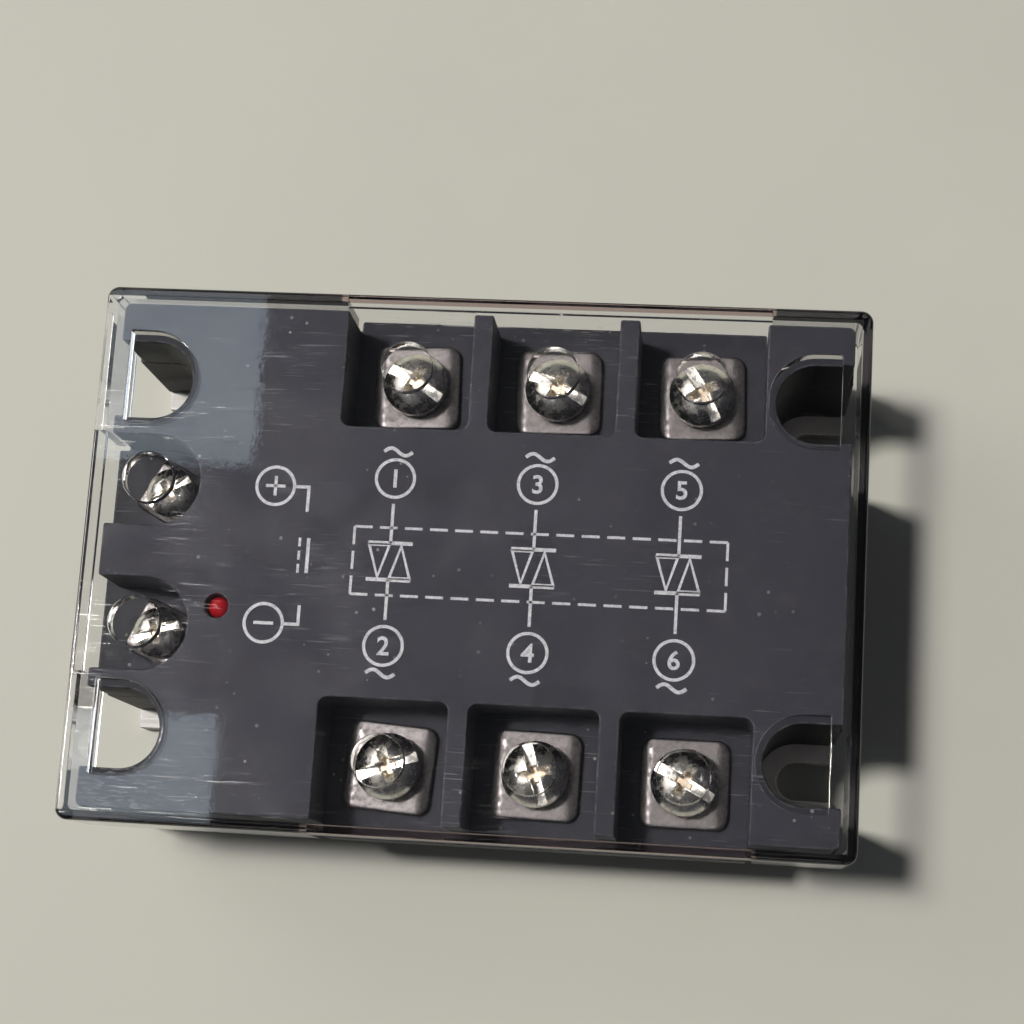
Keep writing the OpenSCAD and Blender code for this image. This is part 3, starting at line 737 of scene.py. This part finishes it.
def cut_away(data, cutters):
    """Cuts meshes out of another one by one, with exact booleans, and returns the result."""
    work = bpy.data.objects.new("blank", data)
    tools = [bpy.data.objects.new("cutter", cutter) for cutter in cutters]
    for thing in (work, *tools):
        bpy.context.scene.collection.objects.link(thing)
    for tool in tools:
        boolean = work.modifiers.new("cut", "BOOLEAN")
        boolean.operation = "DIFFERENCE"
        boolean.solver = "EXACT"
        boolean.object = tool
    bpy.context.view_layer.update()
    result = bpy.data.meshes.new_from_object(work.evaluated_get(bpy.context.evaluated_depsgraph_get()))
    for thing in (work, *tools):
        bpy.data.objects.remove(thing)
    if not result.polygons:
        raise RuntimeError("nothing is left of the blank after cutting")
    return result


def node_centre(node):
    """The middle of a frame node's box."""
    low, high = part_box(node)
    return (low + high) / 2


def node_size(node):
    """The lengths of a frame node's box."""
    low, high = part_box(node)
    return high - low


# ---- clear cover ----


class RELAY_OT_add_clear_cover(bpy.types.Operator):
    """Add the clear lift-off cover with its rounded rim and softened openings"""

    bl_idname = "relay.add_clear_cover"
    bl_label = "Clear Cover"

    def execute(self, context):
        sizes = context.scene.relay_sizes
        low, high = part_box("clear_cover")
        mesh = weld_from_frame("clear_cover")
        corner = 1.7 * MM  # just over the radius of the cover's upright corners
        slack = 0.3 * MM

        def on_rim(edge):
            """True for the outer edge of the top, corners included."""
            for vert in edge.verts:
                beyond_x = abs(vert.co.x) - (high.x - corner)
                beyond_y = abs(vert.co.y) - (high.y - corner)
                outside = math.hypot(max(beyond_x, 0), max(beyond_y, 0)) + min(max(beyond_x, beyond_y), 0)
                if vert.co.z < high.z - 0.01 * MM or outside < corner - slack:
                    return False
            return True

        rim = [edge for edge in mesh.edges if is_sharp(edge, 35.0) and on_rim(edge)]
        if not rim:
            raise RuntimeError("the clear cover has no outer rim to round")
        round_edges(mesh, rim, sizes.cover_rim_radius, 4)
        rest = [edge for edge in mesh.edges if is_sharp(edge, 50.0)]
        round_edges(mesh, rest, sizes.cover_edge_radius)
        to_piece(mesh, "clear_cover_shell", "clear_plastic", "cover", ("clear_cover",))
        return {"FINISHED"}


# ---- case and base plate ----


class RELAY_OT_add_case(bpy.types.Operator):
    """Add the lower case and the upper housing with softened moulded edges"""

    bl_idname = "relay.add_case"
    bl_label = "Case"

    def execute(self, context):
        radius = context.scene.relay_sizes.case_edge_radius
        for node, name in (("lower_case", "case_lower_half"), ("upper_housing", "case_upper_housing")):
            add_softened(node, name, "black_plastic", "housing", radius, least=45.0)
        return {"FINISHED"}


class RELAY_OT_add_base_plate(bpy.types.Operator):
    """Add the brushed aluminium base plate with its open-ended mounting slots"""

    bl_idname = "relay.add_base_plate"
    bl_label = "Base Plate"

    def execute(self, context):
        radius = context.scene.relay_sizes.plate_edge_radius
        add_softened("base_plate", "heat_sink_plate", "aluminium", "housing", radius)
        return {"FINISHED"}


# ---- terminals ----


def rounded_square(angle, half, corner):
    """The point at an angle on a square with round corners, centred on the origin."""
    cosine, sine = math.cos(angle), math.sin(angle)
    reach = half / max(abs(cosine), abs(sine))
    inner = half - corner
    if min(abs(cosine), abs(sine)) * reach > inner:
        # the ray meets the corner's arc: solve |ray - corner centre| = corner radius
        along = inner * (abs(cosine) + abs(sine))
        reach = along + math.sqrt(max(0.0, along * along - 2 * inner * inner + corner * corner))
    return Vector((reach * cosine, reach * sine))


def clamp_plate_mesh(name, node, hole_radius, sheet, half):
    """A pressed clamp plate: a round-cornered square of sheet, its two sides curled down over the wire."""
    size = node_size(node)
    corner = 0.28 * half
    round_off = 0.22 * sheet
    drop = size.z - sheet
    segments = 144
    # (share of the way from the hole to the outline, depth below the top as a share of the sheet)
    section = [(0.0, 0.5)]
    section += [(0.06 * (1 - math.cos(a)), 0.2 * (1 - math.sin(a))) for a in (0.4, 0.9, math.pi / 2)]
    section += [(share, 0.0) for share in (0.2, 0.38, 0.55, 0.68, 0.78, 0.86)]
    section += [(0.93, 0.02), (0.975, 0.09), (1.0, 0.3), (1.0, 0.7), (0.975, 0.92), (0.93, 0.985)]
    section += [(share, 1.0) for share in (0.84, 0.7, 0.5, 0.3, 0.08)]
    mesh = bmesh.new()
    rings = []
    for share, depth in section:
        ring = []
        for i in range(segments):
            angle = math.tau * i / segments
            inner = Vector((hole_radius * math.cos(angle), hole_radius * math.sin(angle)))
            spot = inner.lerp(rounded_square(angle, half, corner), share)
            curl = drop * smoothstep((abs(spot.x) / half - 0.72) / 0.28) ** 1.3
            dish = 0.12 * sheet * smoothstep((spot.length / half - 0.45) / 0.4)
            ring.append(mesh.verts.new((spot.x, spot.y, -depth * sheet - curl + dish - 0.12 * sheet)))
        rings.append(ring)
    mark = mesh.faces.layers.float.new("rounded_edge")
    worn_rings = range(9, 15)
    for index, ring in enumerate(rings):
        following = rings[(index + 1) % len(rings)]
        for i in range(segments):
            j = (i + 1) % segments
            face = mesh.faces.new((ring[i], ring[j], following[j], following[i]))
            face[mark] = 1.0 if index in worn_rings else 0.0
    return mesh_from(mesh, name, sharp=180.0)


def screw_blank(head, head_height, shank_radius, length, pitch, thread_depth):
    """A closed pan-head screw with a thread and no recess; the head sits on z = 0."""
    segments = 60
    rise = 0.66 * head_height
    # a dome that meets the side of the head with a small round
    sphere = (head * head + rise * rise) / (2 * rise)
    widest = math.degrees(math.asin(0.93 * head / sphere))
    dome = arc_points((0, head_height - sphere), sphere, 90, 90 - widest, 12)
    side = arc_points((head - 0.12 * head, dome[-1][1] - 0.13 * head), 0.12 * head, 50, 0, 4)
    under_z = max(0.08 * head, 0.3 * (head_height - rise))
    under = [(head, under_z), (0.985 * head, 0.03 * head), (0.95 * head, 0.0)]
    neck = [(shank_radius, 0.0), (shank_radius, -0.6 * MM)]
    mesh = bmesh.new()
    rings = [add_ring(mesh, radius, height, segments) for radius, height in dome + side + under + neck]
    # the thread: rings close together, each pulled in where the groove passes
    steps = 10  # rings per turn
    thread_top, tip_length = 0.9 * MM, 0.3 * MM
    count = int((length - thread_top - tip_length) / pitch * steps)
    for k in range(count + 1):
        height = -thread_top - k * pitch / steps
        fade = min(1.0, k / steps, (count - k) / steps + 0.25)
        ring = add_ring(mesh, shank_radius, height, segments)
        for i, vert in enumerate(ring):
            groove = abs(2 * ((height / pitch - i / segments) % 1.0) - 1)
            vert.co.xy *= 1 - thread_depth / shank_radius * fade * smoothstep(groove * 1.25 - 0.1)
        rings.append(ring)
    rings.append(add_ring(mesh, 0.8 * (shank_radius - thread_depth), -length, segments))
    rings.append(add_ring(mesh, 0.0, -length, segments))
    skin_rings(mesh, rings, segments)
    return mesh_from(mesh, "screw_blank")


def screw_mesh(name, node, shank_radius, pitch, thread_depth, head_height):
    """A screw as large as a frame node, with a slot and a cross recess pressed into its head."""
    size = node_size(node)
    head = size.x / 2
    blank = screw_blank(head, head_height, shank_radius, size.z - head_height, pitch, thread_depth)
    mesh = bmesh.new()
    mesh.from_mesh(cut_away(blank, driver_cutters(head, head_height)))
    bmesh.ops.remove_doubles(mesh, verts=mesh.verts, dist=0.002 * MM)
    above = 0.2 * MM
    fresh = [edge for edge in mesh.edges if min(vert.co.z for vert in edge.verts) > above
             and is_sharp(edge, 38.0) and edge.is_convex]
    round_edges(mesh, fresh, 0.011 * head)
    recess = mesh.faces.layers.float.new("recess")
    slot_floor = 0.395 * head_height
    for face in mesh.faces:
        spot = face.calc_center_median()
        if above < spot.z < slot_floor and spot.xy.length < 0.72 * head:
            face[recess] = 1.0
    return mesh_from(mesh, name, sharp=34.0)


def driver_cutters(head, head_height):
    """What the press leaves out of a screw head: a slot right across and a tapered cross recess."""
    slot_mesh = bmesh.new()
    slot = 0.16 * head
    add_block(slot_mesh, (-1.5 * head, -slot, 0.4 * head_height), (1.5 * head, slot, 2 * head_height))
    cutters = [mesh_from(slot_mesh, "slot")]
    levels = ((0.3 * head_height, 0.22 * head, 0.075 * head), (1.3 * head_height, 0.74 * head, 0.19 * head))
    for turn in (0, 90):
        blade = bmesh.new()
        corners = []
        for height, reach, half in levels:
            for x, y in ((-reach, -half), (reach, -half), (reach, half), (-reach, half)):
                corners.append(blade.verts.new((x, y, height)))
        for quad in ((3, 2, 1, 0), (4, 5, 6, 7), (0, 1, 5, 4), (1, 2, 6, 5), (2, 3, 7, 6), (3, 0, 4, 7)):
            blade.faces.new([corners[k] for k in quad])
        blade.transform(Matrix.Rotation(math.radians(turn), 4, "Z"))
        cutters.append(mesh_from(blade, "cross recess"))
    return cutters


def add_terminals(names, screw_data, head_height, clamp_data):
    """Places the screw, clamp plate and softened washer of each terminal."""
    for name in names:
        body_screw, body_clamp = name + "_screw_body", name + "_clamp_body"
        spot = node_centre(name + "_screw")
        head_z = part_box(name + "_screw")[1].z - head_height
        turn = Matrix.Rotation(math.radians(SLOT_ANGLES[name]), 4, "Z")
        place_piece(screw_data, name + "_pan_screw", "bright_nickel", body_screw, (name + "_screw",),
                    flatten=False, place=Matrix.Translation((spot.x, spot.y, head_z)) @ turn)
        clamp_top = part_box(name + "_clamp")[1].z
        turn = Matrix.Rotation(math.radians(CLAMP_ANGLES[name]), 4, "Z")
        place_piece(clamp_data, name + "_clamp_plate", "nickel_plate", body_clamp, (name + "_clamp",),
                    flatten=False, place=Matrix.Translation((spot.x, spot.y, clamp_top)) @ turn)
        add_softened(name + "_washer", name + "_spring_washer", "zinc_steel", body_clamp, 0.12 * MM)


class RELAY_OT_add_load_terminals(bpy.types.Operator):
    """Add the six load terminals: pan screws, curled clamp plates and spring washers"""

    bl_idname = "relay.add_load_terminals"
    bl_label = "Load Terminals"

    def execute(self, context):
        sizes = context.scene.relay_sizes
        head_height = 3.6 * MM
        screw = screw_mesh(
            "load_screw", "line_1_screw", shank_radius=2.48 * MM, pitch=0.8 * MM,
            thread_depth=sizes.thread_depth, head_height=head_height)
        clamp = clamp_plate_mesh(
            "load_clamp", "line_1_clamp", hole_radius=2.75 * MM, sheet=sizes.clamp_thickness, half=6.0 * MM)
        add_terminals(LOAD_TERMINALS, screw, head_height, clamp)
        return {"FINISHED"}


class RELAY_OT_add_control_terminals(bpy.types.Operator):
    """Add the two control terminals, the same as the load terminals but smaller"""

    bl_idname = "relay.add_control_terminals"
    bl_label = "Control Terminals"

    def execute(self, context):
        sizes = context.scene.relay_sizes
        share = 0.7  # of the load terminals' thread and sheet
        head_height = 2.6 * MM
        screw = screw_mesh(
            "control_screw", "plus_screw", shank_radius=1.73 * MM, pitch=0.6 * MM,
            thread_depth=share * sizes.thread_depth, head_height=head_height)
        clamp = clamp_plate_mesh(
            "control_clamp", "plus_clamp", hole_radius=2.0 * MM, sheet=share * sizes.clamp_thickness,
            half=4.0 * MM)
        add_terminals(CONTROL_TERMINALS, screw, head_height, clamp)
        return {"FINISHED"}


# ---- indicator ----


class RELAY_OT_add_indicator(bpy.types.Operator):
    """Add the red indicator: a flanged epoxy body with a domed top"""

    bl_idname = "relay.add_indicator"
    bl_label = "Indicator"

    def execute(self, context):
        low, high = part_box("indicator")
        centre = (low + high) / 2
        flange = (high.x - low.x) / 2
        radius = flange - 0.4 * MM
        soft = 0.12 * MM
        step = 1.0 * MM
        profile = [(0, 0), (flange - soft, 0), (flange, soft), (flange, step - soft), (flange - soft, step),
                   (radius, step + soft)]
        profile += arc_points((0, high.z - low.z - radius), radius, 0, 90, 16)[:-1]
        profile += [(0, high.z - low.z)]
        mesh = turned_shape(profile, 48)
        mesh.transform(Matrix.Translation((centre.x, centre.y, low.z)))
        to_piece(mesh, "indicator_lens", "red_lens", "housing", ("indicator",), flatten=False)
        return {"FINISHED"}


# ---- printed marks ----


def add_ribbon(mesh, points, width, low, high, closed=False):
    """Adds a raised line of even width that follows points in X and Y."""
    points = [Vector(point) for point in points]
    count = len(points)
    corners = []
    for i, point in enumerate(points):
        before = points[i - 1] if i or closed else None
        after = points[(i + 1) % count] if i + 1 < count or closed else None
        into = (point - before).normalized() if before is not None else None
        out = (after - point).normalized() if after is not None else None
        along = ((into or out) + (out or into)).normalized()
        side = Vector((-along.y, along.x))
        straight = into or out
        stretch = 1 / max(0.4, side.dot(Vector((-straight.y, straight.x))))
        offset = side * width / 2 * stretch
        corners.append([
            mesh.verts.new((*(point + sign * offset), height))
            for height in (low, high) for sign in (1, -1)])
    pairs = list(zip(corners, corners[1:])) + ([(corners[-1], corners[0])] if closed else [])
    for first, second in pairs:
        for a, b in ((0, 1), (1, 3), (3, 2), (2, 0)):
            mesh.faces.new((first[a], first[b], second[b], second[a]))
    if not closed:
        for end in (corners[0], corners[-1]):
            mesh.faces.new((end[0], end[1], end[3], end[2]))


def add_numeral(mesh, text, centre, height, low, high):
    """Adds a raised terminal number, centred on a point."""
    curve = bpy.data.curves.new("numeral", "FONT")
    curve.body = text
    curve.size = height
    curve.offset = 0.018 * height
    curve.extrude = (high - low) / 2
    curve.resolution_u = 6
    thing = bpy.data.objects.new("numeral", curve)
    bpy.context.scene.collection.objects.link(thing)
    bpy.context.view_layer.update()
    data = bpy.data.meshes.new_from_object(thing.evaluated_get(bpy.context.evaluated_depsgraph_get()))
    bpy.data.objects.remove(thing)
    xs = [vert.co.x for vert in data.vertices]
    ys = [vert.co.y for vert in data.vertices]
    middle = Vector(((min(xs) + max(xs)) / 2, (min(ys) + max(ys)) / 2, 0))
    place = Matrix.Translation((centre[0], centre[1], (low + high) / 2)) @ Matrix.Translation(-middle)
    data.transform(place)
    mesh.from_mesh(data)


class Marks:
    """Draws white marks on the housing's top. Lengths are in millimetres, in the row frame."""

    def __init__(self, top, thickness, width):
        self.mesh = bmesh.new()
        self.low = top + 0.004 * MM
        self.high = self.low + thickness
        self.width = width

    def line(self, *points, closed=False, share=1.0):
        """A line through points, closed on request, at a share of the usual width."""
        add_ribbon(self.mesh, [(x * MM, y * MM) for x, y in points],
                   share * self.width, self.low, self.high, closed)

    def ring(self, x, y, radius):
        """A circle."""
        self.line(*arc_points((x, y), radius, 0, 360, 48)[:-1], closed=True)

    def wave(self, x, y, length, rise):
        """A mark for alternating current: one full wave."""
        steps = 20
        self.line(*[
            (x + length * (i / steps - 0.5), y + rise * math.sin(math.tau * i / steps))
            for i in range(steps + 1)], share=1.15)

    def dashes(self, start, end, dash, space):
        """A dashed straight line."""
        start, end = Vector(start), Vector(end)
        length = (end - start).length
        count = max(1, round((length + space) / (dash + space)))
        dash = (length - (count - 1) * space) / count
        along = (end - start).normalized()
        for i in range(count):
            first = start + along * i * (dash + space)
            self.line(tuple(first), tuple(first + along * dash), share=0.85)

    def numeral(self, text, x, y, height):
        """A terminal number."""
        add_numeral(self.mesh, text, (x * MM, y * MM), height * MM, self.low, self.high)


def draw_control_marks(marks, plus, minus, ring, bracket_x):
    """Circled polarity signs, and a bracket round the sign for direct current."""
    arm = 0.52 * ring
    for x, y in (plus, minus):
        marks.ring(x, y, ring)
        marks.line((x - arm, y), (x + arm, y))
    marks.line((plus[0], plus[1] - arm), (plus[0], plus[1] + arm))
    for (x, y), arm_end in ((plus, plus[1] - 3.4), (minus, minus[1] + 2.6)):
        marks.line((x + ring, y), (bracket_x, y), (bracket_x, arm_end))
    middle = (plus[1] + minus[1]) / 2
    low, high = middle - 2.4, middle + 2.4
    solid_x, dashed_x = bracket_x + 0.55, bracket_x - 0.65
    marks.line((solid_x, low), (solid_x, high), share=1.1)
    marks.dashes((dashed_x, low), (dashed_x, high), 1.2, 0.6)


def draw_pole(marks, x, top, bottom, half_w, half_h):
    """The symbol of one switched pole: two thyristors side by side, pointing opposite ways."""
    marks.line((x, half_h), (x, top))
    marks.line((x, -half_h), (x, bottom))
    for sign in (1, -1):
        marks.line((x - half_w, sign * half_h), (x + half_w, sign * half_h), share=1.2)
        middle = x + sign * half_w / 2
        wide = 0.46 * half_w
        marks.line((middle - wide, -sign * half_h * 0.9), (middle + wide, -sign * half_h * 0.9),
                   (middle, sign * half_h * 0.86), closed=True, share=0.85)


class RELAY_OT_add_printed_marks(bpy.types.Operator):
    """Add the printed marks: polarity, terminal numbers, wave signs and a three-pole switch symbol"""

    bl_idname = "relay.add_printed_marks"
    bl_label = "Printed Marks"

    def execute(self, context):
        sizes = context.scene.relay_sizes
        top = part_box("upper_housing")[1].z
        marks = Marks(top, sizes.ink_thickness, sizes.stroke_width)
        ring = 2.6
        draw_control_marks(marks, (-26.9, 9.7), (-27.0, -9.1), ring, -22.3)
        poles = [node_centre(name + "_screw").x / MM for name in LOAD_TERMINALS[:3]]
        ring_y = 11.4
        wave_y = 15.1
        for number, x in enumerate(poles):
            for side, text in ((1, str(2 * number + 1)), (-1, str(2 * number + 2))):
                spot_x = x - 0.6 - 0.7 * number
                marks.ring(spot_x, side * ring_y, ring)
                marks.numeral(text, spot_x, side * ring_y, 3.5)
                marks.wave(spot_x + 0.15 * side, side * wave_y, 3.9, 0.5)
            stem = ring_y - ring - 0.9
            draw_pole(marks, spot_x, stem, -stem, 3.0, 2.5)
        left, right, high = poles[0] - 5.6, poles[2] + 4.4, 4.6
        for y in (high, -high):
            marks.dashes((left, y), (right, y), 2.4, 1.0)
        for x in (left, right):
            marks.dashes((x, -high), (x, high), 2.2, 0.9)
        to_piece(marks.mesh, "printed_marks", "ink", "housing", flatten=False)
        return {"FINISHED"}


# ---- inner parts ----

# frame node -> its finish and the rounding of its edges in millimetres
INNER_PARTS = {
    "potting": ("silicone_gel", 0.0),
    "circuit_board": ("board", 0.1),
    "optocouplers": ("white_plastic", 0.25),
    "board_parts": ("ceramic_parts", 0.15),
    "snubbers": ("blue_coating", 0.9),
    "gate_pins": ("brass", 0.08),
    "case_screws": ("zinc_steel", 0.06),
}
for _number in (1, 2, 3):
    INNER_PARTS[f"ceramic_{_number}"] = ("white_ceramic", 0.08)
    INNER_PARTS[f"thyristors_{_number}"] = ("silicon", 0.05)
for _name in LOAD_TERMINALS:
    INNER_PARTS[_name + "_strap"] = ("brass", 0.12)
    INNER_PARTS[_name + "_nut"] = ("zinc_steel", 0.2)
for _name in CONTROL_TERMINALS:
    INNER_PARTS[_name + "_tab"] = ("brass", 0.1)
    INNER_PARTS[_name + "_nut"] = ("zinc_steel", 0.15)


class RELAY_OT_add_inner_parts(bpy.types.Operator):
    """Add what the case holds: straps, nuts, ceramic plates, dies, gel, board and its components"""

    bl_idname = "relay.add_inner_parts"
    bl_label = "Inner Parts"

    def execute(self, context):
        for node, (slot, radius) in INNER_PARTS.items():
            add_softened(node, node + "_piece", slot, "housing", radius * MM)
        return {"FINISHED"}


# ---- stage ----

KEY_COLOUR, KEY_FROM = (1.0, 0.965, 0.91), (-0.4, 0.1, 1.0)
PANEL_COLOUR, PANEL_SIZE = (0.74, 0.88, 1.0), (0.085, 0.095)
PANELS_FROM = {"panel_far": (-0.205, 0.185, 0.6), "panel_near": (-0.21, -0.015, 0.6)}
SOFTBOX_COLOUR, SOFTBOX_SIZE, SOFTBOX_FROM = (1.0, 0.98, 0.95), (0.4, 0.36), (-0.5, 0.24, 0.38)
SKY_COLOUR = (0.86, 0.92, 1.0, 1)
CAMERA_FROM = (34.05 * MM, -48.37 * MM, 307.12 * MM)
CAMERA_AIM = (4.31 * MM, 9.78 * MM, 20.0 * MM)
CAMERA_TURN = math.radians(3.59)
FLOOR_HALF_SIZE, FLOOR_GAP = 2.0, 0.02 * MM


def add_light(name, kind, energy, colour, place, aim, **settings):
    """A lamp at a place, pointing at a spot."""
    data = bpy.data.lights.new(name, kind)
    data.energy = energy
    data.color = colour
    for key, value in settings.items():
        setattr(data, key, value)
    lamp = bpy.data.objects.new(name, data)
    lamp.location = place
    lamp.rotation_euler = (Vector(aim) - Vector(place)).to_track_quat("-Z", "Y").to_euler()
    bpy.context.scene.collection.objects.link(lamp)


def add_camera(place, aim, turn, lens):
    """A camera that looks from a place at a spot, with the table's far side turned from straight up."""
    forward = (Vector(aim) - Vector(place)).normalized()
    far_side = Vector((-math.sin(turn), math.cos(turn), 0))
    right = forward.cross(far_side).normalized()
    up = right.cross(forward)
    data = bpy.data.cameras.new("camera")
    data.lens = lens
    data.sensor_width = 36.0
    data.clip_start = 0.01
    camera = bpy.data.objects.new("camera", data)
    turned = Matrix((right, up, -forward)).transposed().to_4x4()
    camera.matrix_world = Matrix.Translation(place) @ turned
    bpy.context.scene.collection.objects.link(camera)
    bpy.context.scene.camera = camera


class RELAY_OT_add_stage(bpy.types.Operator):
    """Add the plain pale floor, the soft lights and the camera"""

    bl_idname = "relay.add_stage"
    bl_label = "Stage"

    def execute(self, context):
        stage = context.scene.relay_stage
        mesh = bmesh.new()
        bmesh.ops.create_grid(mesh, x_segments=8, y_segments=8, size=FLOOR_HALF_SIZE)
        data = bpy.data.meshes.new("floor")
        mesh.to_mesh(data)
        mesh.free()
        data.materials.append(finish_for("floor"))
        floor = bpy.data.objects.new("floor", data)
        floor.location.z = -FLOOR_GAP
        context.scene.collection.objects.link(floor)

        world = bpy.data.worlds.new("even light")
        world.use_nodes = True
        sky = world.node_tree.nodes["Background"]
        sky.inputs["Color"].default_value = SKY_COLOUR
        sky.inputs["Strength"].default_value = stage.sky_strength
        context.scene.world = world

        centre = (cad_bounds[0] + cad_bounds[1]) / 2
        add_light("key", "SUN", stage.key_strength, KEY_COLOUR, KEY_FROM, centre, angle=stage.key_softness)
        for name, place in PANELS_FROM.items():
            add_light(name, "AREA", stage.panel_power, PANEL_COLOUR, place, (*place[:2], 0),
                      shape="RECTANGLE", size=PANEL_SIZE[0], size_y=PANEL_SIZE[1])
        add_light("softbox", "AREA", stage.softbox_power, SOFTBOX_COLOUR, SOFTBOX_FROM, centre,
                  shape="RECTANGLE", size=SOFTBOX_SIZE[0], size_y=SOFTBOX_SIZE[1])
        context.scene.view_settings.view_transform = "Standard"
        add_camera(CAMERA_FROM, CAMERA_AIM, CAMERA_TURN, stage.lens)
        return {"FINISHED"}


# ---- add-on ----


class RELAY_PT_build(bpy.types.Panel):
    """Lists the relay's pieces and settings in the sidebar"""

    bl_label = "Solid State Relay"
    bl_space_type = "VIEW_3D"
    bl_region_type = "UI"
    bl_category = "Relay"

    def draw(self, context):
        layout = self.layout
        for operator in OPERATORS:
            layout.operator(operator.bl_idname)
        for group in (context.scene.relay_sizes, context.scene.relay_finish, context.scene.relay_stage):
            box = layout.box()
            for key in group.bl_rna.properties.keys():
                if key not in ("rna_type", "name"):
                    box.prop(group, key)


OPERATORS = (
    RELAY_OT_add_stage,
    RELAY_OT_add_base_plate,
    RELAY_OT_add_case,
    RELAY_OT_add_inner_parts,
    RELAY_OT_add_load_terminals,
    RELAY_OT_add_control_terminals,
    RELAY_OT_add_indicator,
    RELAY_OT_add_printed_marks,
    RELAY_OT_add_clear_cover,
)
CLASSES = (RelaySizes, RelayFinish, RelayStage, *OPERATORS, RELAY_PT_build)


def register():
    """Registers the add-on's classes and settings."""
    for cls in CLASSES:
        bpy.utils.register_class(cls)
    bpy.types.Scene.relay_sizes = PointerProperty(type=RelaySizes)
    bpy.types.Scene.relay_finish = PointerProperty(type=RelayFinish)
    bpy.types.Scene.relay_stage = PointerProperty(type=RelayStage)


def unregister():
    """Removes what register added."""
    del bpy.types.Scene.relay_stage
    del bpy.types.Scene.relay_finish
    del bpy.types.Scene.relay_sizes
    for cls in reversed(CLASSES):
        bpy.utils.unregister_class(cls)


def main():
    """Builds the whole scene."""
    register()
    for operator in OPERATORS:
        group, name = operator.bl_idname.split(".")
        getattr(getattr(bpy.ops, group), name)()


if __name__ == "__main__":
    main()
